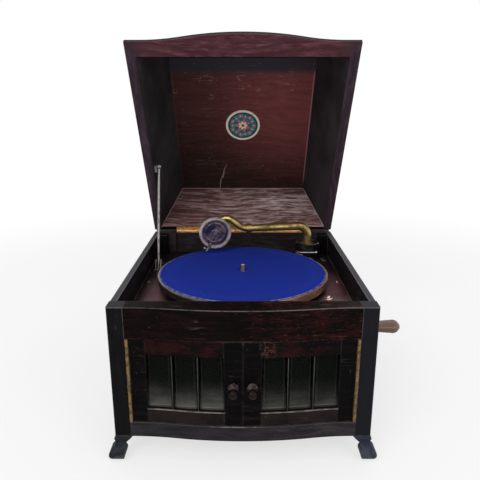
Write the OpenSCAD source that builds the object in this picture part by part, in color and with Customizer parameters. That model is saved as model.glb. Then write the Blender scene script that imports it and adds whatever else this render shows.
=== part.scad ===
// Tabletop gramophone with a serpentine front, glazed doors and a tapered lid.
// Millimetres, +Z up, front towards -Y. Sizes are given in the cabinet's own frame, with X = 0 on its
// centre line, Y = 0 on the front face of its posts and Z = 0 on the floor; placed() then puts the
// origin at the centre of the whole object's footprint on the floor.

/* [Cabinet] */
// Width over the side panels
body_w = 386; // [330:1:470]
// Depth from the posts' front face to the back
body_d = 420; // [360:1:500]
// Height of the rim above the floor
rim_z = 248; // [225:1:300]
// Height of the feet
foot_h = 39; // [32:1:50]
// How far the serpentine front swells forward
bow = 12.5; // [6:0.5:20]
// Share of the half front that the convex arc takes
bow_share = 0.6; // [0.45:0.05:0.75]
// Side of the square front posts
post_w = 24; // [18:1:30]
// Thickness of the side and back panels
panel_t = 11; // [8:1:16]
// Height of the rail under the doors
base_rail_h = 24; // [16:1:34]
// Height of the rail over the doors
top_rail_h = 47; // [36:1:60]
// Thickness of the bottom board
floor_t = 9; // [6:1:14]
// Depth of the motor board's face below the rim
well_h = 42; // [40:1:52]
// Thickness of the motor board
board_t = 12; // [10:1:16]

/* [Doors] */
// Thickness of the doors
door_t = 18; // [14:1:22]
// Gap round each door
door_gap = 0.8; // [0.5:0.1:1.5]
// How far the doors lie behind the rails' face
door_setback = 1.2; // [0.5:0.1:4]
// Width of the stile beside the hinge
hinge_stile_w = 23; // [16:1:32]
// Width of the stile at the middle
meeting_stile_w = 27; // [20:1:34]
// Height of each door's top rail
door_top_rail_h = 25; // [16:1:34]
// Height of each door's bottom rail
door_low_rail_h = 22; // [16:1:34]
// Width of a glazing bar
bar_w = 3; // [2:0.5:6]
// Thickness of the glass
glass_t = 3; // [2:0.5:4]
// How far each door opens, in degrees
door_swing = 105; // [60:1:110]
// Diameter of the door knobs
knob_d = 15; // [12:1:20]
// Radius of the door hinges' knuckles
door_knuckle_r = 2.4; // [2:0.1:3]

/* [Lid] */
// How far the lid stands open, in degrees
lid_open = 60.5; // [40:0.5:70]
// Height of the lid's inner space
lid_in_h = 130; // [100:1:150]
// Lean of the lid's sides, in degrees
lid_lean = 15; // [8:1:18]
// Lean of the lid's front, in degrees
lid_front_lean = 26; // [20:1:30]
// Height of the lid's upright rim
lid_rim_h = 8; // [5:1:14]
// Width of the lid's side walls at their foot
lid_side_rim_w = 16; // [13:1:20]
// Width of the rim at the ends of the lid's front
lid_front_rim_w = 25; // [18:1:30]
// Thickness of the lid's top
lid_top_t = 9; // [6:1:14]
// Length of the hinge along the back
lid_hinge_l = 290; // [200:1:320]
// Radius of the lid hinge's knuckles
lid_knuckle_r = 3.2; // [2.5:0.1:4]
// Height of the stop blocks beside the hinge above the rim
stop_h = 7.5; // [5:0.5:9]
// Diameter of the medallion inside the lid
badge_d = 72; // [50:1:90]
// Centre of the medallion from the lid's back wall
badge_up = 172; // [120:1:220]

/* [Lid stay] */
// Diameter of the stay rod
stay_d = 5; // [4:0.5:6]
// Length of the stay rod from its pivot to its lower end
stay_l = 214; // [206:1:217]
// Lid stay from the side panel's inner face
stay_in = 15; // [14.5:0.5:16]

/* [Turntable] */
// Diameter of the turntable
platter_d = 305; // [290:1:310]
// Height of the turntable's skirt
platter_h = 12; // [8:1:14]
// Wall of the turntable
platter_t = 2.5; // [1.5:0.5:4]
// Thickness of the felt
felt_t = 2; // [1:0.5:3]
// Gap between the motor board and the skirt
platter_gap = 9; // [6:1:12]
// Turntable centre from the posts' front face
spindle_y = 214; // [205:1:225]
// Diameter of the spindle's tip
spindle_d = 7.2; // [6.5:0.1:7.4]
// Height of the spindle's tip above the felt
spindle_tip_h = 12; // [8:1:16]

/* [Tonearm] */
// Tonearm pivot to the right of the spindle
arm_x = 135; // [130:1:140]
// Tonearm pivot behind the spindle
arm_dy = 153; // [150:1:156]
// Direction of the arm at rest, in degrees past straight left
arm_turn = 9.5; // [7:0.5:12]
// Height of the tube's centre line above the rim
arm_up = 26; // [22:1:32]
// Diameter of the tube at its elbow
arm_d = 17; // [14:1:20]
// Diameter of the tube at its collar
arm_end_d = 14; // [12:1:16]
// Wall of the tube
arm_t = 1.2; // [0.8:0.1:2]
// Pivot to the collar, along the arm
collar_x = 127; // [120:1:134]
// Pivot to the sound box's centre, along the arm
box_x = 195; // [190:1:200]
// Diameter of the sound box
box_d = 64; // [56:1:68]
// Thickness of the sound box
box_t = 15; // [12:1:18]

/* [Crank] */
// Crank shaft behind the posts' front face
crank_y = 265; // [258:1:268]
// Height of the crank shaft
crank_z = 172; // [170:1:174]
// Length of the crank from its shaft to its handle
crank_l = 81; // [60:1:90]
// Direction of the crank at rest, in degrees below straight forward
crank_drop = 35.5; // [0:0.5:60]
// Diameter of the crank shaft
crank_shaft_d = 9; // [8:0.5:11]
// Length of the handle
handle_l = 80; // [60:1:90]
// Diameter of the handle
handle_d = 25; // [20:1:30]

/* [Motor] */
// Module of the barrel wheel and the spindle's pinion
main_m = 2.5; // [2.5:0.1:2.6]
// Teeth on the barrel wheel
barrel_teeth = 40; // [40:2:42]
// Teeth on the spindle's pinion
pinion_teeth = 12; // [12:2:14]
// Module of the governor's wheels
gov_m = 1.5; // [1.4:0.1:1.6]
// Teeth on the spindle's upper wheel
gov_wheel_teeth = 36; // [34:2:38]
// Teeth on the governor's pinion
gov_pinion_teeth = 12; // [12:2:14]
// Teeth on each winding bevel
bevel_teeth = 16; // [14:2:16]
// Height of the spring barrel
barrel_h = 25; // [20:1:26]

/* [Hidden] */
$fn = 96;
// Clearances: radial in a running fit, between two boards, between pieces that only lie close
fit = 0.05;
seam = 0.3;
gap = 0.4;
// Reach of a cutting shape past what it cuts
over = 1;
// Cabinet
half_w = body_w / 2;
in_half_w = half_w - panel_t;
clear_half = half_w - post_w;
in_back = body_d - panel_t;
door_low = foot_h + base_rail_h;
door_high = rim_z - top_rail_h;
board_z = rim_z - well_h;
floor_z = foot_h + floor_t;
rear_post_w = 20;
cleat_w = 9;
cleat_h = 12;
rim_round = 3;
toe_out = 9;
toe_r = 12;
foot_w = 27;
bolt_r = 2.5;

// Horn
horn_t = 6;
horn_front_y = post_w + 10;
horn_back_y = body_d - 90;
horn_half_w = in_half_w - 24;
horn_low_z = floor_z + horn_t;
horn_high_z = board_z - board_t - 14;
horn_knee_y = 150;
horn_knee_z = 110;
throat_w = 40;
throat_z = floor_z + 36;
throat_r = 12.5;
throat_bend_r = 30;

// The front is one convex arc between two concave ones, all tangent, that end square on the posts
arc_sum = (clear_half * clear_half + bow * bow) / (2 * bow);
convex_r = bow_share * arc_sum;
concave_r = arc_sum - convex_r;
front_step = 6;
function bow_turn(d) = clear_half * (convex_r - d) / arc_sum;
function front_y(x, d = 0) = abs(x) > clear_half ? d : abs(x) <= bow_turn(d)
    ? convex_r - bow - sqrt(pow(convex_r - d, 2) - x * x)
    : sqrt(pow(concave_r + d, 2) - pow(abs(x) - clear_half, 2)) - concave_r;

// Doors
knuckle_y = -0.4;
knuckle_x = clear_half - door_knuckle_r - seam;
leaf_t = 1.2;
door_edge = knuckle_x - door_knuckle_r;
knuckle_n = 11;
door_leaf_w = 15;
door_pin_r = 1.1;
glass_edge = door_edge - hinge_stile_w;
glass_mid = door_gap / 2 + meeting_stile_w;
glass_low = door_low + door_gap + door_low_rail_h;
glass_high = door_high - door_gap - door_top_rail_h;
rebate = 3;
glass_back = 7;
bars = 2;
knob_l = 24;
knob_x = door_gap / 2 + meeting_stile_w / 2;
knob_z = (door_low + door_high) / 2 - 4;
knob_shank_d = 6;

// Lid, in its closed place with the hinge axis as its own origin
hinge_y = body_d + lid_knuckle_r + seam;
hinge_z = rim_z + gap / 2;
lid_face = gap / 2;
lid_back_y = -lid_knuckle_r - seam;
lid_knuckle_n = 21;
lid_lip = 4;
lid_lip_h = 4;
lid_front_y = lid_back_y - body_d;
lid_h = lid_in_h + lid_top_t;
function lid_slope(z) = max(0, z - lid_rim_h) * tan(lid_lean);
function lid_front_slope(z) = max(0, z - lid_rim_h) * tan(lid_front_lean);
function lid_in_half(z) = half_w - lid_side_rim_w - z * tan(lid_lean);
lid_leaf_w = 9;
lid_pin_r = 1.4;
badge_t = 1.6;
stop_t = 5;

// Placing by the closed lid's own turn
function opened(p) = [p[0],
    hinge_y + p[1] * cos(lid_open) + p[2] * sin(lid_open),
    hinge_z - p[1] * sin(lid_open) + p[2] * cos(lid_open)];

// Lid stay: its pivot on the lid, its guide on the motor board
stay_x = -(in_half_w - stay_in);
stay_pivot_y = -164;
stay_pivot_z = 15;
stay_pin_r = 2;
stay_eye_r = 5.5;
stay_eye_t = stay_d;
stay_top = opened([stay_x, stay_pivot_y, stay_pivot_z]);
guide_y = 296;
guide_z = board_z + 6;
stay_lean = atan2(stay_top[1] - guide_y, stay_top[2] - guide_z);
slot_y0 = guide_y - 12;
slot_y1 = guide_y + 23;
slot_w = 8;

// Turntable and spindle
skirt_z = board_z + platter_gap;
deck_z = skirt_z + platter_h;
felt_top = deck_z + felt_t;
platter_r = platter_d / 2;
felt_r = platter_r - 3;
spindle_r = spindle_d / 2;
shaft_r = 5;
seat_r = spindle_r + 0.4;
hub_r = 14;

// Motor under its board
plate_t = 4;
motor_top = board_z - board_t;
motor_low = 124;
step_z = motor_low + 1.5;
main_z = motor_low + plate_t + 4;
main_h = 5;
barrel_r = main_m * barrel_teeth / 2;
pinion_r = main_m * pinion_teeth / 2;
barrel_dy = crank_y - spindle_y;
barrel_x = sqrt(pow(barrel_r + pinion_r, 2) - barrel_dy * barrel_dy);
gov_r = gov_m * (gov_wheel_teeth + gov_pinion_teeth) / 2;
gov_turn = 180;
gov_shaft_r = 3;
tooth_share = 0.42;
pinion_start = atan2(barrel_dy, barrel_x);
barrel_start = pinion_start + 180 + 180 / barrel_teeth;
gov_x = gov_r * cos(gov_turn);
gov_y = spindle_y + gov_r * sin(gov_turn);
gov_z = motor_top - plate_t - 12;
gov_h = 5;
bevel_m = 1.5;
bevel_r = bevel_m * bevel_teeth / 2;
bevel_face = 6;
arbor_r = 4;
pillar_r = 5;
motor_x0 = -62;
motor_x1 = barrel_x + barrel_r + 8;
motor_y0 = spindle_y - 46;
motor_y1 = crank_y + barrel_r + 8;
pillars = [[motor_x0 + 9, motor_y0 + 9], [motor_x1 - 9, motor_y0 + 9],
    [motor_x0 + 9, motor_y1 - 9], [motor_x1 - 9, motor_y1 - 9]];

// Crank
crank_shaft_r = crank_shaft_d / 2;
escutcheon_t = 4;
escutcheon_r = 20;
arm_t0 = half_w + escutcheon_t + 3;
crank_end_r = crank_shaft_r - 1.5;
crank_arm_t = 7;
handle_x = arm_t0 + crank_arm_t + gap;
handle_pin_r = 3.5;
handle_head_r = 5;
handle_head_t = 1.5;
handle_end = handle_x + handle_l;
pin_y = crank_y - crank_l * cos(crank_drop);
pin_z = crank_z - crank_l * sin(crank_drop);

// Brake and speed regulator
brake_out = 13.1;
brake_at = 47.45;
brake_x = (platter_r + brake_out) * cos(brake_at);
brake_y = spindle_y + (platter_r + brake_out) * sin(brake_at);
brake_h = 10;
brake_l = 38;
brake_rod_z = 19;
brake_pin_r = 2;
quadrant_r = 53;
quadrant_w = 7;
shoe_r = 3.5;
shoe_l = 14;
shoe_gap = 4;
shoe_far = platter_r + shoe_r + shoe_gap;
shoe_turn = atan2(brake_y - spindle_y, brake_x) + 180 + acos((brake_x * brake_x
    + pow(brake_y - spindle_y, 2) + shoe_l * shoe_l - shoe_far * shoe_far)
    / (2 * shoe_l * norm([brake_x, brake_y - spindle_y])));
speed_x = 140;
speed_y = 60;
speed_stem_r = 3;
speed_knob_r = 8;
cup_x = -138;
cup_y = 52;
cup_r = 12;

// Tonearm
pivot_y = spindle_y + arm_dy;
arm_z = rim_z + arm_up;
elbow_r = 22;
base_top = board_z + 29;
base_rim_h = 5;
base_r = 26;
duct_r = 9.5;
needle_tilt = 26;
box_y = 10;
box_z = arm_z - 4;
spigot_r = arm_end_d / 2 - arm_t - 0.5;
neck_r = 7;
neck_in = 4;
rim_in_r = box_d / 2 - 6;
needle_point = 3;
record_t = 2.5;
needle_out = (box_z - felt_top - record_t - seam) / cos(needle_tilt) - box_d / 2 - 1 - needle_point;

// Centre of the whole footprint: the left foot's toe to the crank handle's end, and the door knobs
// to the back corner of the open lid
front_most = front_y(knob_x, door_setback) - knob_l;
rear_most = opened([0, lid_back_y, lid_h])[1];
mid_x = (handle_end - half_w - toe_out) / 2;
mid_y = (front_most + rear_most) / 2;

module placed() {
    translate([-mid_x, -mid_y, 0]) children();
}

// Children drawn once as they are and once mirrored to the other side of the cabinet
module both_sides() {
    children();
    mirror([1, 0, 0]) children();
}

// Box between two corners
module block(a, b) {
    translate(a) cube(b - a);
}

// Cylinder lying along X from x0 to x1
module along_x(x0, x1, r) {
    translate([x0, 0, 0]) rotate([0, 90, 0]) cylinder(h = x1 - x0, r = r);
}

// Points along the serpentine front, d behind its face, from x0 to x1
function front_line(d, x0, x1) = let (n = ceil((x1 - x0) / front_step))
    [for (i = [0:n]) let (x = x0 + (x1 - x0) * i / n) [x, front_y(x, d)]];

function backwards(line) = [for (i = [len(line) - 1:-1:0]) line[i]];

// Plan of all that lies behind the serpentine front, w to each side
module behind_front(w, depth) {
    polygon(concat(front_line(0, -w, w), [[w, depth], [-w, depth]]));
}

// Plan of a strip of the front from d0 to d1 behind its face, between x0 and x1
module front_strip(d0, d1, x0, x1) {
    polygon(concat(front_line(d0, x0, x1), backwards(front_line(d1, x0, x1))));
}

// Cutter that rounds an edge running along +Z, its corner at the origin and the piece at -X, +Y
module edge_round(l) {
    translate([0, 0, -over]) linear_extrude(l + 2 * over) corner_round();
}

module corner_round() {
    difference() {
        translate([-rim_round, -over]) square([rim_round + over, rim_round + over]);
        translate([-rim_round, rim_round]) circle(r = rim_round);
    }
}

// Upright board at the right side, behind the front post
module side_panel() {
    difference() {
        block([in_half_w, post_w, foot_h], [half_w, body_d, rim_z]);
        translate([half_w, post_w, rim_z]) rotate([-90, 0, 0]) edge_round(body_d);
    }
}

module left_side_panel() {
    color("#3a1d14") placed() mirror([1, 0, 0]) side_panel();
}

module right_side_panel() {
    color("#3a1d14") placed() difference() {
        side_panel();
        translate([0, crank_y, crank_z]) along_x(in_half_w - over, half_w + over, crank_shaft_r + 2);
    }
}

module front_posts() {
    color("#32180f") placed() both_sides() translate([0, 0, foot_h]) linear_extrude(rim_z - foot_h)
        difference() {
            translate([clear_half, 0]) square(post_w);
            translate([half_w, 0]) corner_round();
        }
}

module rear_posts() {
    color("#2c1710") placed() both_sides()
        block([in_half_w - rear_post_w, in_back - rear_post_w, floor_z],
            [in_half_w, in_back, rim_z - over]);
}

module top_front_rail() {
    color("#32180f") placed() translate([0, 0, door_high]) linear_extrude(top_rail_h)
        behind_front(clear_half, post_w);
}

module bottom_front_rail() {
    color("#32180f") placed() translate([0, 0, foot_h]) linear_extrude(base_rail_h)
        behind_front(clear_half, post_w);
}

// Back panel with a stop block on either side of the hinge, which closes the gap under the open lid
module back_panel() {
    color("#3a1d14") placed() {
        difference() {
            block([-in_half_w, in_back, foot_h], [in_half_w, body_d, rim_z]);
            block([-lid_hinge_l / 2 - seam, body_d - seam - lid_leaf_w - seam, rim_z - leaf_t],
                [lid_hinge_l / 2 + seam, body_d + over, rim_z + over]);
        }
        both_sides() {
            block([lid_hinge_l / 2 + seam, in_back - stop_t, board_z + seam],
                [in_half_w - rear_post_w - seam, in_back + over, rim_z - over]);
            block([lid_hinge_l / 2 + seam, in_back - stop_t, rim_z - over + seam],
                [lid_in_half(stop_h) - seam, in_back - gap, rim_z + stop_h]);
            block([lid_hinge_l / 2 + seam, in_back - stop_t, rim_z - 2 * over],
                [in_half_w - rear_post_w - seam, in_back - gap, rim_z + over]);
        }
    }
}

module bottom_board() {
    color("#4a2a1b") placed() block([-in_half_w, post_w, foot_h], [in_half_w, in_back, floor_z]);
}

module motor_board() {
    color("#8a3a20") placed() difference() {
        block([-in_half_w + seam, post_w + seam, motor_top], [in_half_w - seam, in_back - seam, board_z]);
        both_sides() block([in_half_w - rear_post_w - seam, in_back - rear_post_w - seam, motor_top - over],
            [in_half_w + over, in_back + over, board_z + over]);
        translate([0, spindle_y, motor_top - over]) cylinder(h = board_t + 2 * over, r = shaft_r + 3);
        translate([arm_x, pivot_y, motor_top - over]) cylinder(h = board_t + 2 * over, r = duct_r + 3);
        block([stay_x - slot_w / 2, slot_y0, motor_top - over],
            [stay_x + slot_w / 2, slot_y1, board_z + over]);
        for (p = pillars) translate([p[0], p[1], motor_top - over])
            cylinder(h = board_t + 2 * over, r = bolt_r + fit);
        translate([speed_x, speed_y, motor_top - over])
            cylinder(h = board_t + 2 * over, r = speed_stem_r + 1);
    }
}

module board_cleats() {
    color("#5a3420") placed() both_sides()
        block([in_half_w - cleat_w, post_w + cleat_w, motor_top - cleat_h],
            [in_half_w, in_back - rear_post_w - cleat_w, motor_top]);
}

// Side view of a foot, X outward from the post's face and Y up: an ogee leg over a round toe
module foot_profile() {
    leg_low = toe_r + 2;
    difference() {
        polygon([[-foot_w, foot_h], [0, foot_h], [toe_out - 1, leg_low], [-toe_r, leg_low - 6],
            [-toe_r - 1, 2 * toe_r]]);
        translate([toe_r, (foot_h + leg_low) / 2 + 2.5]) circle(r = toe_r);
    }
    intersection() {
        translate([toe_out - toe_r, toe_r - 1]) circle(r = toe_r);
        translate([-2 * toe_r, 0]) square(4 * toe_r);
    }
}

// Right front foot, splayed to the side and to the front alike
module front_foot() {
    reach = foot_w + toe_out + over;
    intersection() {
        translate([half_w, foot_w, 0]) rotate([90, 0, 0]) linear_extrude(reach) foot_profile();
        translate([half_w + toe_out + over, 0, 0]) rotate([90, 0, -90]) linear_extrude(reach)
            foot_profile();
    }
}

// Right rear foot, splayed to the side only, so that the back stays flat
module rear_foot() {
    intersection() {
        translate([half_w, body_d, 0]) rotate([90, 0, 0]) linear_extrude(foot_w) foot_profile();
        translate([half_w - foot_w, body_d, 0]) rotate([90, 0, 90])
            linear_extrude(foot_w + toe_out + over)
                polygon([[-foot_w, foot_h], [0, foot_h], [0, 0], [-toe_r, 0], [-toe_r - 1, 2 * toe_r]]);
    }
}

module front_feet() {
    color("#32180f") placed() both_sides() front_foot();
}

module rear_feet() {
    color("#32180f") placed() both_sides() rear_foot();
}

// Horn: a wooden duct that opens from the throat at the right rear to the whole front

// Side view of the horn's inside, Y back and Z up, grown by t above and below
module horn_side_view(t) {
    polygon([[horn_front_y, horn_low_z - t], [horn_back_y, throat_z - throat_w / 2 - t],
        [horn_back_y, throat_z + throat_w / 2 + t], [horn_knee_y, horn_knee_z + t],
        [horn_front_y, horn_high_z + t]]);
}

// Top view of the horn's inside, grown by t to each side
module horn_top_view(t) {
    polygon([[-horn_half_w - t, horn_front_y], [horn_half_w + t, horn_front_y],
        [arm_x + throat_w / 2 + t, horn_back_y], [arm_x - throat_w / 2 - t, horn_back_y]]);
}

module horn_across() {
    rotate([90, 0, 90]) translate([0, 0, -half_w]) linear_extrude(body_w) children();
}

module horn_sides() {
    color("#20130d") placed() intersection() {
        horn_across() horn_side_view(horn_t);
        translate([0, 0, foot_h]) linear_extrude(rim_z) difference() {
            horn_top_view(horn_t);
            horn_top_view(0);
        }
    }
}

module horn_roof() {
    color("#20130d") placed() intersection() {
        horn_across() difference() {
            horn_side_view(horn_t);
            horn_side_view(0);
            polygon([[0, 0], [body_d, 0], [body_d, throat_z], [horn_front_y - over, throat_z]]);
        }
        translate([0, 0, foot_h]) linear_extrude(rim_z) horn_top_view(0);
    }
}

module horn_floor() {
    color("#20130d") placed() intersection() {
        horn_across() difference() {
            horn_side_view(horn_t);
            horn_side_view(0);
            polygon([[0, throat_z], [body_d, throat_z], [body_d, rim_z], [0, rim_z]]);
        }
        translate([0, 0, foot_h]) linear_extrude(rim_z) horn_top_view(0);
    }
}

// Iron elbow from the tonearm's duct down and forward into the horn
module throat_bend(r) {
    translate([arm_x, pivot_y, throat_z + throat_bend_r])
        cylinder(h = motor_top - throat_z - throat_bend_r, r = r);
    translate([arm_x, pivot_y - throat_bend_r, throat_z + throat_bend_r]) rotate([90, 0, 90])
        rotate([0, 0, -90]) rotate_extrude(angle = 90) translate([throat_bend_r, 0]) circle(r = r);
    translate([arm_x, pivot_y - throat_bend_r, throat_z]) rotate([90, 0, 0])
        cylinder(h = pivot_y - throat_bend_r - horn_back_y, r = r);
}

module horn_throat() {
    flange = throat_w / 2 + horn_t;
    color("#2b2b2b") placed() difference() {
        union() {
            throat_bend(throat_r + 3);
            block([arm_x - flange, horn_back_y, throat_z - flange],
                [arm_x + flange, horn_back_y + 3, throat_z + flange]);
            translate([arm_x, pivot_y, motor_top - 3]) cylinder(h = 3, r = throat_r + 11);
        }
        throat_bend(throat_r);
        translate([arm_x, horn_back_y + over, throat_z]) rotate([90, 0, 0])
            cylinder(h = 2 * over, r = throat_r);
        translate([arm_x, pivot_y, motor_top - over]) cylinder(h = 2 * over, r = throat_r);
    }
}

// Doors, drawn for the right side and mirrored for the left

module right_side(side) {
    if (side > 0) children();
    else mirror([1, 0, 0]) children();
}

// One strip of the bowed front, z0 to z1 high
module door_part(d0, d1, x0, x1, z0, z1) {
    translate([0, 0, z0]) linear_extrude(z1 - z0) front_strip(d0, d1, x0, x1);
}

function bar_x(i) = glass_mid + (glass_edge - glass_mid) * i / (bars + 1);

module door_frame(side) {
    face = door_setback;
    color("#2e150d") placed() right_side(side) {
        difference() {
            door_part(face, face + door_t, door_gap / 2, door_edge,
                door_low + door_gap, door_high - door_gap);
            door_part(0, face + door_t + over, glass_mid, glass_edge, glass_low, glass_high);
            door_part(face + glass_back, face + door_t + over, glass_mid - rebate,
                glass_edge + rebate, glass_low - rebate, glass_high + rebate);
            knob_shank(knob_shank_d / 2 + fit);
        }
        for (i = [1:bars])
            door_part(face + 2, face + door_t - 3, bar_x(i) - bar_w / 2, bar_x(i) + bar_w / 2,
                glass_low, glass_high);
    }
}

// Three curved panes in the rebate, on either side of the bars
module door_glass(side) {
    d0 = door_setback + glass_back + seam;
    lap = rebate - seam;
    color("#9fb4b8", 0.35) placed() right_side(side) for (i = [0:bars])
        door_part(d0, d0 + glass_t,
            i == 0 ? glass_mid - lap : bar_x(i) + bar_w / 2 + seam,
            i == bars ? glass_edge + lap : bar_x(i + 1) - bar_w / 2 - seam,
            glass_low - lap, glass_high + lap);
}

module knob_shank(r) {
    translate([knob_x, front_y(knob_x, door_setback) - over, knob_z]) rotate([-90, 0, 0])
        cylinder(h = door_t + 2 * over, r = r);
}

// Turned knob: a ring base, a waist and a ball, on a shank through the stile
module door_knob(side) {
    r = knob_d / 2;
    ball = r * 0.98;
    color("#1d0e09") placed() right_side(side) {
        translate([knob_x, front_y(knob_x, door_setback), knob_z]) rotate([90, 0, 0]) rotate_extrude()
            union() {
                translate([0, seam]) square([r, 2.5]);
                translate([0, seam]) square([r - 2, 5]);
                translate([0, seam]) square([r / 2, knob_l - ball - seam]);
                intersection() {
                    translate([0, knob_l - ball]) circle(r = ball);
                    translate([0, knob_l - 2 * ball]) square([ball, 2 * ball]);
                }
            }
        translate([knob_x, front_y(knob_x, door_setback) - over, knob_z]) rotate([-90, 0, 0])
            cylinder(h = door_t, r = knob_shank_d / 2);
    }
}

// Knuckles along +Z over length l, every second one of n, starting with the first or the second
module knuckles(l, n, first, r) {
    for (i = [first:2:n - 1]) translate([0, 0, i * l / n + gap / 4])
        cylinder(h = l / n - gap / 2, r = r, $fn = 48);
}

// Tabs from a leaf at x0 to x1 out to its own knuckles, y0 to y1 deep
module knuckle_tabs(l, n, first, x0, x1, y0, y1) {
    for (i = [first:2:n - 1])
        block([x0, y0, i * l / n + gap / 4], [x1, y1, (i + 1) * l / n - gap / 4]);
}

// Long hinge's leaf on the post, with its knuckles and the pin
module door_hinge_post_leaves() {
    l = door_high - door_low - 2 * door_gap;
    plate_y = knuckle_y + door_knuckle_r + seam;
    color("#b8923f") placed() both_sides() translate([0, 0, door_low + door_gap]) {
        block([clear_half - leaf_t, plate_y, 0], [clear_half, door_leaf_w, l]);
        knuckle_tabs(l, knuckle_n, 0, clear_half - leaf_t, clear_half, knuckle_y, plate_y);
        translate([knuckle_x, knuckle_y, 0]) {
            knuckles(l, knuckle_n, 0, door_knuckle_r);
            cylinder(h = l, r = door_pin_r, $fn = 48);
        }
    }
}

module door_hinge_leaf(side) {
    l = door_high - door_low - 2 * door_gap;
    plate_y = knuckle_y + door_knuckle_r + seam;
    color("#b8923f") placed() right_side(side) translate([0, 0, door_low + door_gap]) {
        block([door_edge, plate_y, 0], [door_edge + leaf_t, door_leaf_w, l]);
        difference() {
            union() {
                knuckle_tabs(l, knuckle_n, 1, door_edge, door_edge + leaf_t, knuckle_y, plate_y);
                translate([knuckle_x, knuckle_y, 0]) knuckles(l, knuckle_n, 1, door_knuckle_r);
            }
            translate([knuckle_x, knuckle_y, -over])
                cylinder(h = l + 2 * over, r = door_pin_r + fit, $fn = 48);
        }
    }
}

module left_door_frame() { door_frame(-1); }
module left_door_glass() { door_glass(-1); }
module left_door_knob() { door_knob(-1); }
module left_door_hinge_leaf() { door_hinge_leaf(-1); }
module right_door_frame() { door_frame(1); }
module right_door_glass() { door_glass(1); }
module right_door_knob() { door_knob(1); }
module right_door_hinge_leaf() { door_hinge_leaf(1); }

// Lid, drawn closed with the hinge axis as origin and then turned open

module lid_place() {
    placed() translate([0, hinge_y, hinge_z]) rotate([-lid_open, 0, 0]) children();
}

// Plan of the lid, its front curve moved back by shift, w to each side
module lid_plan(shift, w) {
    intersection() {
        translate([0, lid_front_y + shift]) behind_front(w, body_d);
        translate([-w, lid_front_y - 2 * bow]) square([2 * w, 2 * bow + body_d]);
    }
}

// All that lies in front of the front wall's straight, leaning inner face
module before_inner_face() {
    translate([0, lid_front_y + lid_front_rim_w, 0]) rotate([-lid_front_lean, 0, 0])
        block([-body_w, -body_d, -body_w], [body_w, 0, body_w]);
}

// All that belongs to the right wall at its mitre with the front wall
module behind_mitre() {
    mitre = [-lid_side_rim_w, lid_front_rim_w, 0];
    lean = [-tan(lid_lean), tan(lid_front_lean), 1];
    n = cross(mitre, lean);
    translate([half_w, lid_front_y, lid_rim_h])
        rotate([0, -asin(n[2] / norm(n)), atan2(n[1], n[0])])
            block([0, -2 * body_d, -body_d], [2 * body_w, 2 * body_d, body_d]);
}

// Front wall: upright serpentine rim, then the same curve leaning back to the top
module lid_front() {
    reach = lid_in_h / cos(lid_front_lean) + bow;
    color("#3a1d14") lid_place() difference() {
        intersection() {
            union() {
                linear_extrude(lid_rim_h) lid_plan(0, half_w);
                translate([0, lid_front_y, lid_rim_h]) rotate([-lid_front_lean, 0, 0])
                    translate([0, -lid_front_y, 0]) linear_extrude(reach) lid_plan(0, half_w);
            }
            lid_section();
            before_inner_face();
        }
        both_sides() behind_mitre();
    }
}

// The closed lid's walls seen from the front, drawn over its whole depth
module lid_section() {
    translate([0, lid_back_y, 0]) rotate([90, 0, 0]) linear_extrude(body_d + 2 * bow) polygon([
        [-half_w, lid_face], [half_w, lid_face], [half_w, lid_rim_h],
        [half_w - lid_slope(lid_in_h), lid_in_h], [lid_slope(lid_in_h) - half_w, lid_in_h],
        [-half_w, lid_rim_h]]);
}

// Right wall: upright rim, then leaning in to the top, mitred against the front wall
module lid_side() {
    intersection() {
        translate([0, lid_back_y, 0]) rotate([90, 0, 0]) linear_extrude(body_d) polygon([
            [lid_in_half(lid_face), lid_face], [half_w, lid_face], [half_w, lid_rim_h],
            [half_w - lid_slope(lid_in_h), lid_in_h], [lid_in_half(lid_in_h), lid_in_h]]);
        behind_mitre();
    }
}

module lid_left_side() {
    color("#3a1d14") lid_place() mirror([1, 0, 0]) lid_side();
}

module lid_right_side() {
    color("#3a1d14") lid_place() lid_side();
}

module lid_back() {
    color("#7a4130") lid_place() difference() {
        translate([0, lid_back_y, 0]) rotate([90, 0, 0]) linear_extrude(panel_t) polygon([
            [-lid_in_half(lid_face), lid_face], [lid_in_half(lid_face), lid_face],
            [lid_in_half(lid_in_h), lid_in_h], [-lid_in_half(lid_in_h), lid_in_h]]);
        block([-lid_hinge_l / 2 - seam, lid_back_y - 2 * seam - lid_leaf_w, 0],
            [lid_hinge_l / 2 + seam, 0, lid_face + leaf_t]);
    }
}

module lid_top_panel() {
    side = half_w - lid_slope(lid_in_h);
    color("#8a4632") lid_place() {
        translate([0, 0, lid_in_h]) linear_extrude(lid_top_t - lid_lip_h)
            lid_plan(lid_front_slope(lid_in_h), side);
        translate([0, 0, lid_h - lid_lip_h]) linear_extrude(lid_lip_h)
            lid_plan(lid_front_slope(lid_in_h) + lid_lip, side - lid_lip);
    }
}

module lid_badge() {
    color("#2f6f73") lid_place()
        translate([0, lid_back_y - panel_t - badge_up, lid_in_h - badge_t])
            cylinder(h = badge_t, r = badge_d / 2);
}

// Long brass hinge along the back
module lid_hinge_lower_leaf() {
    plate_y = body_d - seam;
    color("#c8a04a") placed() {
        block([-lid_hinge_l / 2, plate_y - lid_leaf_w, rim_z - leaf_t],
            [lid_hinge_l / 2, plate_y, rim_z]);
        translate([-lid_hinge_l / 2, 0, rim_z]) rotate([90, 0, 90])
            knuckle_tabs(lid_hinge_l, lid_knuckle_n, 0, plate_y, hinge_y, -leaf_t, 0);
        translate([-lid_hinge_l / 2, hinge_y, hinge_z]) rotate([0, 90, 0]) {
            knuckles(lid_hinge_l, lid_knuckle_n, 0, lid_knuckle_r);
            cylinder(h = lid_hinge_l, r = lid_pin_r, $fn = 48);
        }
    }
}

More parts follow.
